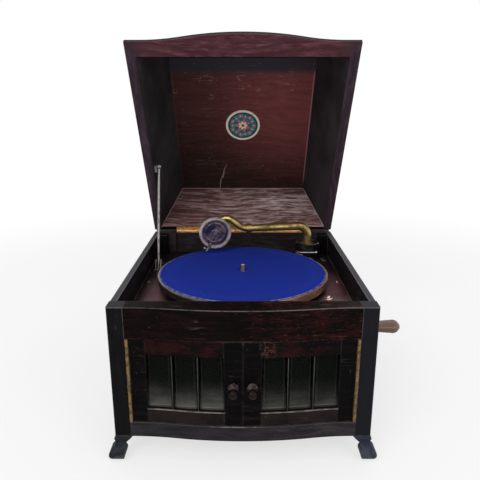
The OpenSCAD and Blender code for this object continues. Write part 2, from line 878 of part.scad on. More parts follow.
module lid_hinge_upper_leaf() {
    plate_y = lid_back_y;
    color("#c8a04a") lid_place() {
        block([-lid_hinge_l / 2, plate_y - lid_leaf_w, lid_face],
            [lid_hinge_l / 2, plate_y, lid_face + leaf_t]);
        difference() {
            union() {
                translate([-lid_hinge_l / 2, 0, 0]) rotate([90, 0, 90])
                    knuckle_tabs(lid_hinge_l, lid_knuckle_n, 1, plate_y, 0, lid_face, lid_face + leaf_t);
                translate([-lid_hinge_l / 2, 0, 0]) rotate([0, 90, 0])
                    knuckles(lid_hinge_l, lid_knuckle_n, 1, lid_knuckle_r);
            }
            along_x(-lid_hinge_l / 2 - over, lid_hinge_l / 2 + over, lid_pin_r + fit);
        }
    }
}

// Plate on the lid's left wall with the stay's pivot pin
module stay_lid_bracket() {
    z0 = stay_pivot_z - 9;
    z1 = stay_pivot_z + 7;
    plate_x = stay_x - stay_eye_t / 2 - gap;
    color("#9a958c") lid_place() {
        translate([0, stay_pivot_y + 8, 0]) rotate([90, 0, 0]) linear_extrude(16) polygon([
            [-lid_in_half(z0), z0], [plate_x, z0], [plate_x, z1], [-lid_in_half(z1), z1]]);
        translate([0, stay_pivot_y, stay_pivot_z]) {
            along_x(plate_x - over, stay_x + stay_eye_t / 2 + gap + 1.5, stay_pin_r);
            along_x(stay_x + stay_eye_t / 2 + gap, stay_x + stay_eye_t / 2 + gap + 1.5,
                stay_eye_r - 1);
        }
    }
}

// Rod with an eye at the lid, leaning down through its guide
module stay_rod() {
    color("#c9c6bf") placed() translate(stay_top) rotate([180 - stay_lean, 0, 0]) {
        difference() {
            union() {
                along_x(-stay_eye_t / 2, stay_eye_t / 2, stay_eye_r);
                cylinder(h = stay_l, r = stay_d / 2, $fn = 48);
            }
            along_x(-stay_eye_t, stay_eye_t, stay_pin_r + fit);
        }
    }
}

// Guide on the motor board: a slotted foot and two triangular ears beside the rod
module stay_guide() {
    ear_x = stay_d / 2 + 1;
    color("#9a958c") placed() translate([stay_x, 0, board_z]) {
        difference() {
            block([-slot_w / 2 - 2.5, slot_y0 - 5, 0], [slot_w / 2 + 2.5, slot_y1 + 5, 1.2]);
            block([-slot_w / 2, slot_y0, -over], [slot_w / 2, slot_y1, 1.2 + over]);
        }
        for (x = [-slot_w / 2 - 1.5, slot_w / 2]) translate([x, 0, 0]) rotate([90, 0, 90])
            linear_extrude(1.5)
                polygon([[slot_y0, 0], [slot_y1, 0], [guide_y + 12, 13], [guide_y + 4, 16]]);
    }
}

// Turntable

// Pressed steel disc with a turned-down skirt and a hub that sits on the spindle's taper
module platter() {
    color("#b9aa93") placed() translate([0, spindle_y, 0]) difference() {
        union() {
            translate([0, 0, deck_z - platter_t]) cylinder(h = platter_t, r = platter_r);
            translate([0, 0, skirt_z]) difference() {
                cylinder(h = platter_h, r = platter_r);
                translate([0, 0, -over]) cylinder(h = platter_h + 2 * over, r = platter_r - platter_t);
            }
            translate([0, 0, skirt_z - 2]) cylinder(h = platter_h, r = hub_r);
        }
        translate([0, 0, skirt_z - 2 - over]) cylinder(h = platter_h + 2 + 2 * over, r = seat_r + fit);
    }
}

module felt_mat() {
    color("#2f4fb0") placed() translate([0, spindle_y, deck_z]) difference() {
        cylinder(h = felt_t, r = felt_r);
        translate([0, 0, -over]) cylinder(h = felt_t + 2 * over, r = seat_r + gap);
    }
}

// Involute of a base circle, as the turn in degrees past the tooth's middle at radius r
function involute(a) = tan(a) * 180 / PI - a;
function tooth_turn(m, teeth, r) =
    let (pitch = m * teeth / 2, base = pitch * cos(20))
    180 * tooth_share / teeth + involute(20) - involute(acos(min(1, base / max(r, base))));

// Points of one tooth, up its right flank and down its left
function tooth(m, teeth, turn) =
    let (pitch = m * teeth / 2, root = pitch - 1.2 * m, tip = pitch + 0.8 * m,
        rs = [for (i = [0:4]) root + (tip - root) * i / 4])
    concat(
        [for (r = rs) let (a = turn - tooth_turn(m, teeth, r)) r * [cos(a), sin(a)]],
        [for (i = [4:-1:0]) let (r = rs[i], a = turn + tooth_turn(m, teeth, r)) r * [cos(a), sin(a)]]);

// Plan of a spur wheel, its first tooth turned to start
module wheel(m, teeth, start) {
    polygon([for (i = [0:teeth - 1]) each tooth(m, teeth, start + i * 360 / teeth)]);
}

// Spindle: tapered tip, shoulder under the hub, pinion to the barrel and wheel to the governor
module spindle() {
    color("#c7c9cb") placed() translate([0, spindle_y, 0]) {
        translate([0, 0, step_z + fit]) cylinder(h = skirt_z - 2 - step_z - fit, r = shaft_r);
        translate([0, 0, skirt_z - 2]) cylinder(h = felt_top - skirt_z + 2, r = seat_r);
        translate([0, 0, felt_top]) cylinder(h = spindle_tip_h - 1, r = spindle_r);
        translate([0, 0, felt_top + spindle_tip_h - 1]) cylinder(h = 1, r1 = spindle_r, r2 = spindle_r - 1);
        translate([0, 0, main_z]) linear_extrude(main_h) wheel(main_m, pinion_teeth, pinion_start);
        translate([0, 0, gov_z]) linear_extrude(gov_h) wheel(gov_m, gov_wheel_teeth, gov_turn);
    }
}

// Spring barrel with its toothed rim, turning on the winding arbor
module spring_barrel() {
    color("#a9a69c") placed() translate([barrel_x, crank_y, 0]) difference() {
        union() {
            translate([0, 0, main_z]) linear_extrude(main_h) wheel(main_m, barrel_teeth, barrel_start);
            translate([0, 0, main_z + main_h]) cylinder(h = barrel_h - main_h - 3, r = barrel_r - 5);
            translate([0, 0, main_z + barrel_h - 3]) cylinder(h = 3, r = barrel_r - 7);
        }
        translate([0, 0, main_z - over]) cylinder(h = barrel_h + 2 * over, r = arbor_r + fit);
    }
}

// Bevel wheel with its apex at the origin and its large end at -Z
module bevel(start) {
    translate([0, 0, -bevel_r]) linear_extrude(bevel_face, scale = (bevel_r - bevel_face) / bevel_r)
        wheel(bevel_m, bevel_teeth, start);
}

// Arbor inside the barrel, turned by the crank through a pair of bevels
module winding_arbor() {
    color("#b5a878") placed() translate([barrel_x, crank_y, 0]) {
        translate([0, 0, step_z + fit]) cylinder(h = crank_z - bevel_r - step_z, r = arbor_r);
        translate([0, 0, crank_z]) bevel(0);
    }
}

// Governor: pinion, two collars and three weights on springs, bowed out by their turning
module governor() {
    low = motor_low + plate_t + 10;
    high = gov_z - 8;
    color("#b08d45") placed() translate([gov_x, gov_y, 0]) {
        translate([0, 0, step_z + fit]) cylinder(h = motor_top - step_z - 2 * fit, r = gov_shaft_r);
        translate([0, 0, gov_z - 1]) linear_extrude(gov_h + 2)
            wheel(gov_m, gov_pinion_teeth, gov_turn + 180 + 180 / gov_pinion_teeth);
        translate([0, 0, high - 3]) cylinder(h = 5, r = 7);
        translate([0, 0, low]) cylinder(h = 3, r = 7);
        translate([0, 0, low + 6]) cylinder(h = 2, r = 11);
        translate([0, 0, low]) cylinder(h = 8, r = 5);
        for (turn = [0, 120, 240]) rotate([0, 0, turn]) {
            translate([13, 0, (low + high) / 2]) sphere(r = 5, $fn = 48);
            block([6, -2, low + 1], [14, 2, low + 2]);
            block([6, -2, high - 1], [14, 2, high]);
            block([12.4, -2, low + 1], [13.4, 2, high]);
        }
    }
}

// Plates that carry the train, with bearings for its shafts from height low up
module motor_plate(z, low) {
    difference() {
        block([motor_x0, motor_y0, z], [motor_x1, motor_y1, z + plate_t]);
        translate([0, spindle_y, low]) cylinder(h = plate_t + 2 * over, r = shaft_r + fit);
        translate([gov_x, gov_y, low]) cylinder(h = plate_t + 2 * over, r = gov_shaft_r + fit);
    }
}

module motor_top_plate() {
    color("#8d8f90") placed() difference() {
        union() {
            motor_plate(motor_top - plate_t, motor_top - plate_t - over);
            bearing_x(motor_x1 - 8, motor_x1);
        }
        for (p = pillars) translate([p[0], p[1], motor_top - plate_t - over])
            cylinder(h = plate_t + 2 * over, r = bolt_r + fit);
        translate([0, crank_y, crank_z]) along_x(motor_x1 - 8 - over, motor_x1 + over,
            crank_shaft_r + fit);
    }
}

// Hanging bearing for the crank shaft between x0 and x1
module bearing_x(x0, x1) {
    block([x0, crank_y - 10, crank_z - 2], [x1, crank_y + 10, motor_top - plate_t]);
    translate([0, crank_y, crank_z]) along_x(x0, x1, 10);
}

module motor_bottom_plate() {
    color("#8d8f90") placed() difference() {
        union() {
            motor_plate(motor_low, step_z);
            for (p = pillars) translate([p[0], p[1], motor_low])
                cylinder(h = motor_top - plate_t - motor_low, r = pillar_r);
        }
        for (p = pillars) translate([p[0], p[1], motor_top - plate_t - 12])
            cylinder(h = 12 + over, r = bolt_r + fit);
        translate([barrel_x, crank_y, step_z]) cylinder(h = plate_t + over, r = arbor_r + fit);
    }
}

// Round-headed bolts down through the board and the top plate into the pillars
module motor_bolts() {
    color("#c9b06a") placed() for (p = pillars) translate([p[0], p[1], 0]) {
        translate([0, 0, motor_top - plate_t - 10]) cylinder(h = board_t + plate_t + 11, r = bolt_r);
        translate([0, 0, board_z]) difference() {
            cylinder(h = 2.5, r1 = 5.5, r2 = 4.5);
            translate([-6, -0.5, 1.5]) cube([12, 1, 2]);
        }
    }
}

// Crank

module crank_escutcheon() {
    color("#a8843c") placed() difference() {
        translate([0, crank_y, crank_z]) {
            along_x(half_w, half_w + 1.5, escutcheon_r);
            along_x(half_w, half_w + escutcheon_t, escutcheon_r - 7);
            along_x(in_half_w, half_w, crank_shaft_r + 2 - fit);
        }
        translate([0, crank_y, crank_z])
            along_x(in_half_w - over, half_w + escutcheon_t + over, crank_shaft_r + fit);
    }
}

module crank_shaft() {
    inner = barrel_x + bevel_r - 3;
    color("#8f9193") placed() translate([0, crank_y, crank_z]) {
        along_x(inner, arm_t0 - fit, crank_shaft_r);
        along_x(inner, arm_t0 + crank_arm_t, crank_end_r - fit);
        translate([barrel_x, 0, 0]) rotate([0, -90, 0]) bevel(180 / bevel_teeth);
    }
}

// Flat steel arm with round ends, and the handle's pin
module crank_arm() {
    color("#6f7071") placed() {
        translate([arm_t0, crank_y, crank_z]) rotate([90, 0, 90]) linear_extrude(crank_arm_t)
            rotate([0, 0, 180 + crank_drop]) difference() {
                union() {
                    circle(r = 9);
                    translate([crank_l, 0]) circle(r = 7);
                    polygon([[0, -8], [crank_l, -6], [crank_l, 6], [0, 8]]);
                }
                circle(r = crank_end_r);
            }
        translate([0, pin_y, pin_z]) {
            along_x(arm_t0, handle_end, handle_pin_r);
            along_x(handle_end - handle_head_t, handle_end, handle_head_r);
        }
    }
}

// Pear-shaped wooden handle, turned round its pin
module crank_handle() {
    color("#5b2f1b") placed() translate([handle_x, pin_y, pin_z]) rotate([0, 90, 0]) difference() {
        rotate_extrude() handle_outline();
        translate([0, 0, -over]) cylinder(h = handle_l + 2 * over, r = handle_pin_r + fit);
        translate([0, 0, handle_l - handle_head_t - gap])
            cylinder(h = handle_l, r = handle_head_r + gap);
    }
}

module handle_outline() {
    big = handle_d / 2;
    small = handle_d * 0.3;
    intersection() {
        square([big, handle_l]);
        union() {
            square([small + 1.5, 4]);
            polygon([[0, 3], [small, 3], [big * 0.97, handle_l - 1.25 * big], [0, handle_l]]);
            translate([0, handle_l - big]) circle(r = big);
        }
    }
}

// Tonearm, drawn along +X from its pivot, with the front at +Y, then turned into place

module arm_place() {
    placed() translate([arm_x, pivot_y, 0]) rotate([0, 0, 180 + arm_turn]) children();
}

// Cast base: a drum with a raised rim and the socket that the tube turns in
module tonearm_base() {
    h = base_top - board_z;
    color("#1b1b1c") placed() translate([arm_x, pivot_y, board_z]) difference() {
        rotate_extrude() polygon([[0, 0], [base_r, 0], [base_r, 3], [base_r - 1, 5],
            [base_r - 1, h + base_rim_h - 1], [base_r - 2, h + base_rim_h],
            [base_r - 4, h + base_rim_h], [base_r - 5, h], [0, h]]);
        translate([0, 0, -over]) cylinder(h = h, r = duct_r);
        translate([0, 0, 10]) cylinder(h = h, r = arm_d / 2 + 1 + fit);
    }
}

// Outer or inner form of the tube: upright leg, elbow and tapering arm, walls in by t
module arm_form(t) {
    r = arm_d / 2 - t;
    end_r = arm_end_d / 2 - t;
    translate([0, 0, board_z + 10 + seam]) cylinder(h = arm_z - elbow_r - board_z - 10 - seam, r = r);
    translate([elbow_r, 0, arm_z - elbow_r]) rotate([90, 0, 0]) rotate([0, 0, 90])
        rotate_extrude(angle = 90) translate([elbow_r, 0]) circle(r = r);
    translate([elbow_r, 0, arm_z]) rotate([0, 90, 0])
        cylinder(h = collar_x - elbow_r, r1 = r, r2 = end_r);
}

module tonearm() {
    color("#c2a253") arm_place() difference() {
        union() {
            arm_form(0);
            translate([0, 0, board_z + 10 + seam]) cylinder(h = 6, r = arm_d / 2 + 1);
            translate([0, 0, base_top + seam]) cylinder(h = 3, r = arm_d / 2 + 4);
            translate([collar_x - 9, 0, arm_z]) rotate([0, 90, 0])
                cylinder(h = 9, r = arm_end_d / 2 + 1.5);
            translate([collar_x - 3, 0, arm_z]) rotate([0, 90, 0])
                cylinder(h = 3, r = arm_end_d / 2 + 3.5);
        }
        arm_form(arm_t);
        translate([0, 0, board_z + 9]) cylinder(h = 3, r = arm_d / 2 - arm_t);
        translate([collar_x - 8, 0, arm_z]) rotate([0, 90, 0])
            cylinder(h = 8 + over, r = spigot_r + fit);
    }
}

// Points of the gooseneck's centre line: out of the collar, up and behind, down to the sound box
neck_path = [
    [collar_x + 2, 0, arm_z], [collar_x + 8, 0, arm_z + 1], [collar_x + 16, -1, arm_z + 5],
    [collar_x + 25, -4, arm_z + 12], [collar_x + 34, -10, arm_z + 18], [collar_x + 45, -15, arm_z + 18],
    [collar_x + 56, -17, arm_z + 11], [box_x - 4, -15, box_z + 5], [box_x, -9, box_z],
    [box_x, box_y - box_t / 2 - neck_in - 2, box_z]];

// Round tube along a path, one ring of sides points square to it at each point
module swept(path, radius, sides) {
    last = len(path) - 1;
    frames = [for (i = [0:last])
        let (t = unit(path[min(last, i + 1)] - path[max(0, i - 1)]), s = unit(cross(t, [0, 0.6, 1])))
        [s, cross(s, t)]];
    points = [for (i = [0:last], k = [0:sides - 1])
        path[i] + radius * (frames[i][0] * cos(k * 360 / sides) + frames[i][1] * sin(k * 360 / sides))];
    walls = [for (i = [0:last - 1], k = [0:sides - 1]) let (a = i * sides + k,
        b = i * sides + (k + 1) % sides) each [[a, b, b + sides], [a, b + sides, a + sides]]];
    polyhedron(points, concat(walls, [[for (k = [sides - 1:-1:0]) k]],
        [[for (k = [0:sides - 1]) last * sides + k]]));
}

function unit(v) = v / norm(v);

// Smooth point between path points, a Catmull-Rom curve at share u of stretch i
function between(path, i, u) =
    let (last = len(path) - 1, a = path[max(0, i - 1)], b = path[i], c = path[i + 1],
        d = path[min(last, i + 2)])
    0.5 * (2 * b + u * (c - a) + u * u * (2 * a - 5 * b + 4 * c - d)
        + u * u * u * (3 * b - a - 3 * c + d));
function smooth(path, steps) = concat(
    [for (i = [0:len(path) - 2], k = [0:steps - 1]) between(path, i, k / steps)],
    [path[len(path) - 1]]);

// Bent neck that turns in the collar and lifts the sound box off the record
module gooseneck() {
    color("#b99745") arm_place() {
        swept(concat(smooth(neck_path, 3), [[box_x, box_y - box_t / 2 + 3, box_z]]), neck_r, 24);
        translate([collar_x - 7, 0, arm_z]) rotate([0, 90, 0]) cylinder(h = 11, r = spigot_r);
        translate([collar_x + seam, 0, arm_z]) rotate([0, 90, 0])
            cylinder(h = 3, r = arm_end_d / 2 + 2.5);
    }
}

// Sound box: a drum on the neck's end, open in front over the diaphragm
module box_place() {
    arm_place() translate([box_x, box_y, box_z]) rotate([-90, 0, 0]) children();
}

module sound_box() {
    r = box_d / 2;
    t = box_t / 2;
    color("#b9bbbd") box_place() difference() {
        rotate_extrude() difference() {
            polygon([[0, -t - neck_in], [neck_r + 3, -t - neck_in], [neck_r + 5, -t], [r - 9, -t],
                [r - 2, -t + 4], [r, -t + 7], [r, t - 3], [r - 2, t], [r - 4, t],
                [rim_in_r, t - 3.5], [rim_in_r, 0], [0, 0]]);
            translate([0, -2.5]) square([rim_in_r - 2, 3]);
        }
        translate([0, 0, -t - neck_in - over]) cylinder(h = t + neck_in, r = neck_r + fit);
        rotate([0, 0, 90 - needle_tilt]) block([rim_in_r - over, -4, t - 4], [r + over, 4, t + over]);
    }
}

// Thin disc with pressed rings, held round its edge
module diaphragm() {
    color("#8d8f95") box_place() rotate_extrude() polygon([
        [0, 0.3], [rim_in_r - 9, 0.3], [rim_in_r - 7, 1.3], [rim_in_r - 5, 0.3], [rim_in_r - seam, 0.3],
        [rim_in_r - seam, 0.9], [rim_in_r - 5, 0.9], [rim_in_r - 7, 1.9], [rim_in_r - 9, 0.9],
        [7, 0.9], [5, 2], [0, 2]]);
}

// Bar from the diaphragm's centre over the rim, with the needle's socket, screw and needle
module stylus_bar() {
    t = box_t / 2;
    r = box_d / 2;
    color("#c5c7c9") box_place() rotate([0, 0, 90 - needle_tilt]) {
        block([-3, -1, 2], [r - 7, 1, 3.4]);
        translate([0, 0, 2]) cylinder(h = 1.8, r = 3);
        block([r - 9, -2.6, t - 3.6], [r + 1, 2.6, t - 0.2]);
        block([r - 9, -1, 2], [r - 7, 1, t - 3]);
        translate([r + 1, 0, t - 2]) rotate([0, 90, 0]) cylinder(h = 7, r = 2.6);
        translate([r + 4.5, 0, t - 2]) rotate([90, 0, 0]) cylinder(h = 6, r = 1.4);
        translate([r + 4.5, -6, t - 2]) rotate([90, 0, 0]) cylinder(h = 3, r = 3);
        translate([r + 1, 0, t - 2]) rotate([0, 90, 0]) cylinder(h = needle_out, r = 0.7);
        translate([r + 1 + needle_out, 0, t - 2]) rotate([0, 90, 0])
            cylinder(h = needle_point, r1 = 0.7, r2 = 0.12);
    }
}

// Small fittings on the motor board

// Foot and post of the brake lever, and the notched quadrant beyond it
module brake_plate() {
    color("#9c968a") placed() translate([brake_x, brake_y, board_z]) {
        difference() {
            union() {
                cylinder(h = 1.6, r = 11);
                cylinder(h = brake_h - seam, r = 5);
            }
            translate([0, 0, 1.6]) cylinder(h = brake_h, r = brake_pin_r + fit);
        }
        linear_extrude(1.6) difference() {
            intersection() {
                circle(r = quadrant_r + quadrant_w);
                polygon([[0, 0], [80, 4], [80, 31]]);
            }
            circle(r = quadrant_r);
            for (turn = [5:4:21]) rotate([0, 0, turn]) translate([quadrant_r, 0]) circle(r = 1.2);
        }
    }
}

// Lever with a ball grip on one side and a leather-faced shoe towards the turntable's skirt
module brake_lever() {
    ball_r = 3.2;
    color("#c9c6bf") placed() translate([brake_x, brake_y, board_z]) {
        translate([0, 0, 2]) cylinder(h = brake_h, r = brake_pin_r);
        translate([0, 0, brake_h]) cylinder(h = brake_rod_z + 3 - brake_h, r = 4.5);
        translate([0, 0, brake_rod_z]) rotate([0, 90, 0]) cylinder(h = brake_l, r = 1.6);
        translate([brake_l, 0, brake_rod_z]) sphere(r = ball_r);
        rotate([0, 0, shoe_turn]) {
            block([0, -2, brake_h], [shoe_l, 2, brake_h + 2.5]);
            translate([shoe_l, 0, brake_h - 0.5]) cylinder(h = 9, r = shoe_r);
        }
    }
}

module speed_dial() {
    color("#b8923f") placed() translate([speed_x, speed_y, board_z]) difference() {
        union() {
            cylinder(h = 1.5, r = speed_knob_r + 5);
            for (turn = [-135:45:135]) rotate([0, 0, 90 + turn])
                translate([speed_knob_r + 2, -0.4, 0]) cube([2.5, 0.8, 2]);
        }
        translate([0, 0, -over]) cylinder(h = 4, r = speed_stem_r + fit);
    }
}

// Domed knob with a pointer and its stem through the board
module speed_knob() {
    color("#d8d3c6") placed() translate([speed_x, speed_y, board_z]) {
        translate([0, 0, -board_t - 4]) cylinder(h = board_t + 7, r = speed_stem_r);
        translate([0, 0, 1.5 + gap]) rotate_extrude() intersection() {
            union() {
                square([speed_knob_r, 4]);
                translate([0, 4]) circle(r = speed_knob_r);
            }
            square([speed_knob_r, 4 + speed_knob_r]);
        }
        translate([0, speed_knob_r - over, 1.5 + gap]) cylinder(h = 2, r = 1.6, $fn = 24);
    }
}

// Swivelling cup for needles, let into the board's front corner
module needle_cup() {
    color("#aaa79c") placed() translate([cup_x, cup_y, board_z]) rotate_extrude()
        polygon([[0, 0], [cup_r - 2, 0], [cup_r, 5], [cup_r + 1.5, 5.5], [cup_r + 1.5, 6.5], [cup_r - 1, 6.5],
            [cup_r - 3, 1.5], [0, 1.5]]);
}

left_side_panel();
right_side_panel();
front_posts();
rear_posts();
top_front_rail();
bottom_front_rail();
back_panel();
bottom_board();
motor_board();
board_cleats();
front_feet();
rear_feet();
horn_sides();
horn_roof();
horn_floor();
horn_throat();
lid_hinge_lower_leaf();
door_hinge_post_leaves();
stay_guide();
tonearm_base();
needle_cup();
brake_plate();
speed_dial();
crank_escutcheon();
motor_top_plate();
motor_bottom_plate();
motor_bolts();
lid_front();
lid_back();
lid_left_side();
lid_right_side();
lid_top_panel();
lid_badge();
lid_hinge_upper_leaf();
stay_lid_bracket();
stay_rod();
left_door_frame();
left_door_glass();
left_door_knob();
left_door_hinge_leaf();
right_door_frame();
right_door_glass();
right_door_knob();
right_door_hinge_leaf();
platter();
felt_mat();
spindle();
spring_barrel();
governor();
winding_arbor();
crank_shaft();
crank_arm();
crank_handle();
tonearm();
gooseneck();
sound_box();
diaphragm();
stylus_bar();
brake_lever();
speed_knob();
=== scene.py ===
import math

import bmesh
import bpy
from mathutils import Matrix, Vector, noise


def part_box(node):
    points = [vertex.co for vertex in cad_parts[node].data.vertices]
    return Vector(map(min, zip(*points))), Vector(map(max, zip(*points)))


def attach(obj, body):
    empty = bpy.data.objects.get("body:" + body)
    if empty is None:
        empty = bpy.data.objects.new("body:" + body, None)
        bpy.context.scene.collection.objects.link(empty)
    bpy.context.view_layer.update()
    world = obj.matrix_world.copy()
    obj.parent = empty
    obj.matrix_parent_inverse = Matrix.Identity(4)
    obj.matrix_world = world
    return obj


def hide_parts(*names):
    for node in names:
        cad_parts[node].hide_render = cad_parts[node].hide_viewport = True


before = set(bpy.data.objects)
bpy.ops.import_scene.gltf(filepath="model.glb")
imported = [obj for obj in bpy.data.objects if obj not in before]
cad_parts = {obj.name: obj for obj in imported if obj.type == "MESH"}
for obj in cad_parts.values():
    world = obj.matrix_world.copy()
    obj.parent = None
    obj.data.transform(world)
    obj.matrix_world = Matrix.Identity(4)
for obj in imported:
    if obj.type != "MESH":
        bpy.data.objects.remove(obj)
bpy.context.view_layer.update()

MM = 0.001

# The cabinet's own frame: its centre line and the face of its front posts, in the model's frame
CENTRE_X = -42.7 * MM
FRONT_Y = -253.8 * MM

# Sizes of the CAD that finishes and new pieces follow, in millimetres in the cabinet's frame
HALF_WIDTH, SIDE_INNER, POST_EDGE = 193, 182, 169
RAIL_TOP, BOARD_TOP, RIM, SPINDLE_Y = 63, 206, 248, 214
CRANK_Y, CRANK_Z, ESCUTCHEON_FACE = 265, 172, 197
DOOR_LOW, DOOR_HIGH, STILE_EDGE = 64, 200, 163.9

# The serpentine front in plan: a convex arc between two concave ones that end on the posts
CONVEX_R, CONCAVE_R, BOW, CURVE_CHANGE = 689.2, 459.5, 12.5, 101.4

# A door's three panes from the middle outwards, their height and the width of their ground edges
PANE_SIDES = ((27.4, 63.7), (66.7, 101.6), (104.6, 140.9))
PANE_LOW, PANE_HIGH, GROUND = 85.8, 175.2, 3.6
BAR_MIDDLES = (65.2, 103.1)
BEAD_DEPTH = 3.0

# The lid: how far it stands open, its hinge, and sizes in its own frame with the hinge as origin
LID_OPEN = math.radians(60.5)
HINGE_Y, HINGE_Z = 423.5, 248.2
LID_SLOPE, LID_DEPTH = math.tan(math.radians(15)), 130
PANEL_HALF, PANEL_BACK, PANEL_FRONT = 142, -14.5, -391
ROSETTE_Y, ROSETTE_R = -186.5, 36


def at(x, y, z):
    """Point in the cabinet's frame, in millimetres, as a point of the model."""
    return Vector((CENTRE_X + x * MM, FRONT_Y + y * MM, z * MM))


LID_PLACE = Matrix.Translation(at(0, HINGE_Y, HINGE_Z)) @ Matrix.Rotation(-LID_OPEN, 4, "X")


# -------------------------------- shader values

class Value:
    """A socket's value that takes part in Python arithmetic."""

    def __init__(self, nodes, socket):
        self.nodes, self.socket = nodes, socket

    def _math(self, operation, *values):
        return self.nodes.node("Math", values, operation=operation)

    def __add__(self, other):
        return self._math("ADD", self, other)

    def __sub__(self, other):
        return self._math("SUBTRACT", self, other)

    def __rsub__(self, other):
        return self._math("SUBTRACT", other, self)

    def __mul__(self, other):
        return self._math("MULTIPLY", self, other)

    def __truediv__(self, other):
        return self._math("DIVIDE", self, other)

    def __pow__(self, other):
        return self._math("POWER", self, other)

    __radd__, __rmul__ = __add__, __mul__

    def less(self, other):
        return self._math("MINIMUM", self, other)

    def more(self, other):
        return self._math("MAXIMUM", self, other)

    def size(self):
        return self._math("ABSOLUTE", self)


def rgba(colour):
    return (*colour, 1.0)


class Nodes:
    """A node tree whose nodes are written as expressions."""

    def __init__(self, tree):
        self.tree = tree

    def feed(self, socket, value):
        if isinstance(value, Value):
            self.tree.links.new(value.socket, socket)
        else:
            socket.default_value = rgba(value) if socket.type == "RGBA" else value

    def node(self, kind, inputs=(), output=0, stops=(), **settings):
        """Adds a node with its settings, inputs and colour stops, and gives one of its outputs."""
        node = self.tree.nodes.new("ShaderNode" + kind)
        for key, value in settings.items():
            setattr(node, key, value)
        if stops:
            ramp = node.color_ramp
            while len(ramp.elements) < len(stops):
                ramp.elements.new(1.0)
            for element, (position, colour) in zip(ramp.elements, stops):
                element.position, element.color = position, rgba(colour)
        pairs = inputs.items() if isinstance(inputs, dict) else enumerate(inputs)
        for key, value in pairs:
            self.feed(node.inputs[key], value)
        return Value(self, node.outputs[output])

    def shown(self):
        """1 where the camera looks at it, directly, in a reflection or through glass."""
        rays = self.node("LightPath").socket.node.outputs
        camera, glossy, through = (Value(self, rays[f"Is {kind} Ray"])
                                   for kind in ("Camera", "Glossy", "Transmission"))
        return camera.more(glossy).more(through)


class Finish(Nodes):
    """A material."""

    def __init__(self, name, **shader_values):
        self.material = bpy.data.materials.new(name)
        self.material.use_nodes = True
        super().__init__(self.material.node_tree)
        self.shader = self.tree.nodes["Principled BSDF"]
        self.set(**shader_values)

    def set(self, **shader_values):
        for name, value in shader_values.items():
            self.feed(self.shader.inputs[name.replace("_", " ")], value)

    def place(self, scale=(1, 1, 1), turn=(0, 0, 0), shift=(0, 0, 0)):
        """Object coordinates in metres, turned, scaled and moved."""
        point = self.node("TexCoord", output=3)
        if turn != (0, 0, 0):
            point = self.node("Mapping", {"Vector": point, "Rotation": turn})
        return self.node("Mapping", {"Vector": point, "Scale": scale, "Location": shift})

    def parts(self, point):
        """The three parts of a vector."""
        split = self.node("SeparateXYZ", [point])
        return [Value(self, socket) for socket in split.socket.node.outputs]

    def noise(self, point, scale, detail, roughness):
        return self.node("TexNoise", {"Vector": point, "Scale": scale, "Detail": detail,
                                      "Roughness": roughness})

    def step(self, value, low, high):
        """0 under low, 1 over high, smooth between."""
        return self.node("MapRange", {"Value": value, "From Min": low, "From Max": high},
                         interpolation_type="SMOOTHSTEP")

    def patches(self, point, scale, detail, roughness, low, high):
        """Soft-edged patches: 1 where a noise is over high, 0 where it is under low."""
        return self.step(self.noise(point, scale, detail, roughness), low, high)

    def near(self, value, place, inner, outer):
        """1 within the inner distance of a place along a value, 0 beyond the outer one."""
        return 1 - self.step((value - place).size(), inner, outer)

    def mix(self, factor, first, second):
        return self.node("Mix", {0: factor, 6: first, 7: second}, output=2,
                         data_type="RGBA")

    def bump(self, height, distance):
        self.set(Normal=self.node("Bump", {"Height": height, "Distance": distance,
                                           "Strength": 1.0}))


# -------------------------------- finishes

UNTURN = (LID_OPEN, 0, 0)
IN_LID = tuple(-(Matrix.Rotation(LID_OPEN, 3, "X") @ LID_PLACE.translation))
IN_CABINET = (-CENTRE_X, -FRONT_Y, 0)
ON_TURNTABLE = (-CENTRE_X, -(FRONT_Y + SPINDLE_Y * MM), 0)

# Shares of the light that fall on faces turned away from it
RIM_LIGHT, BOARD_LIGHT, BACK_BOARD_LIGHT, ROSETTE_LIGHT = 0.85, 0.6, 0.43, 0.40
WELL_LIGHT, LID_WALL_LIGHT, PANEL_LIGHT = 0.35, 0.34, 0.32


def tone(red, green, blue, light=1.0):
    """The surface colour that shows as this screen colour where that share of the light falls."""
    return tuple(((c / 255 + 0.055) / 1.055) ** 2.4 / light for c in (red, green, blue))


def stain(dark, middle, bright, light=1.0):
    """A wood's three tones."""
    return tuple(tone(*colour, light) for colour in (dark, middle, bright))


def lid_parts(finish):
    """Across, back (0 at the hinge, less in front) and up in the closed lid's own frame."""
    return finish.parts(finish.place(turn=UNTURN, shift=IN_LID))


def cabinet_parts(finish):
    """Across, back and up in the cabinet's frame."""
    return finish.parts(finish.place(shift=IN_CABINET))


def face_depth(finish):
    """How far behind the serpentine front a point lies."""
    convex, concave, bow, end, change = (
        size * MM for size in (CONVEX_R, CONCAVE_R, BOW, POST_EDGE, CURVE_CHANGE))
    x, y, _ = cabinet_parts(finish)
    side = x.size()
    middle = convex - (x * x + (y + (bow - convex)) ** 2) ** 0.5
    outer = ((side - end) ** 2 + (y + concave) ** 2) ** 0.5 - concave
    beyond = finish.step(side, change - 0.0005, change + 0.0005)
    return middle * (1 - beyond) + outer * beyond


def beside(finish, value, width, *places):
    """1 at each of the places along a value, fading to 0 a width away, all in millimetres."""
    total = None
    for place in places:
        line = finish.near(value, place * MM, width * 0.35 * MM, width * MM)
        total = line if total is None else total.more(line)
    return total


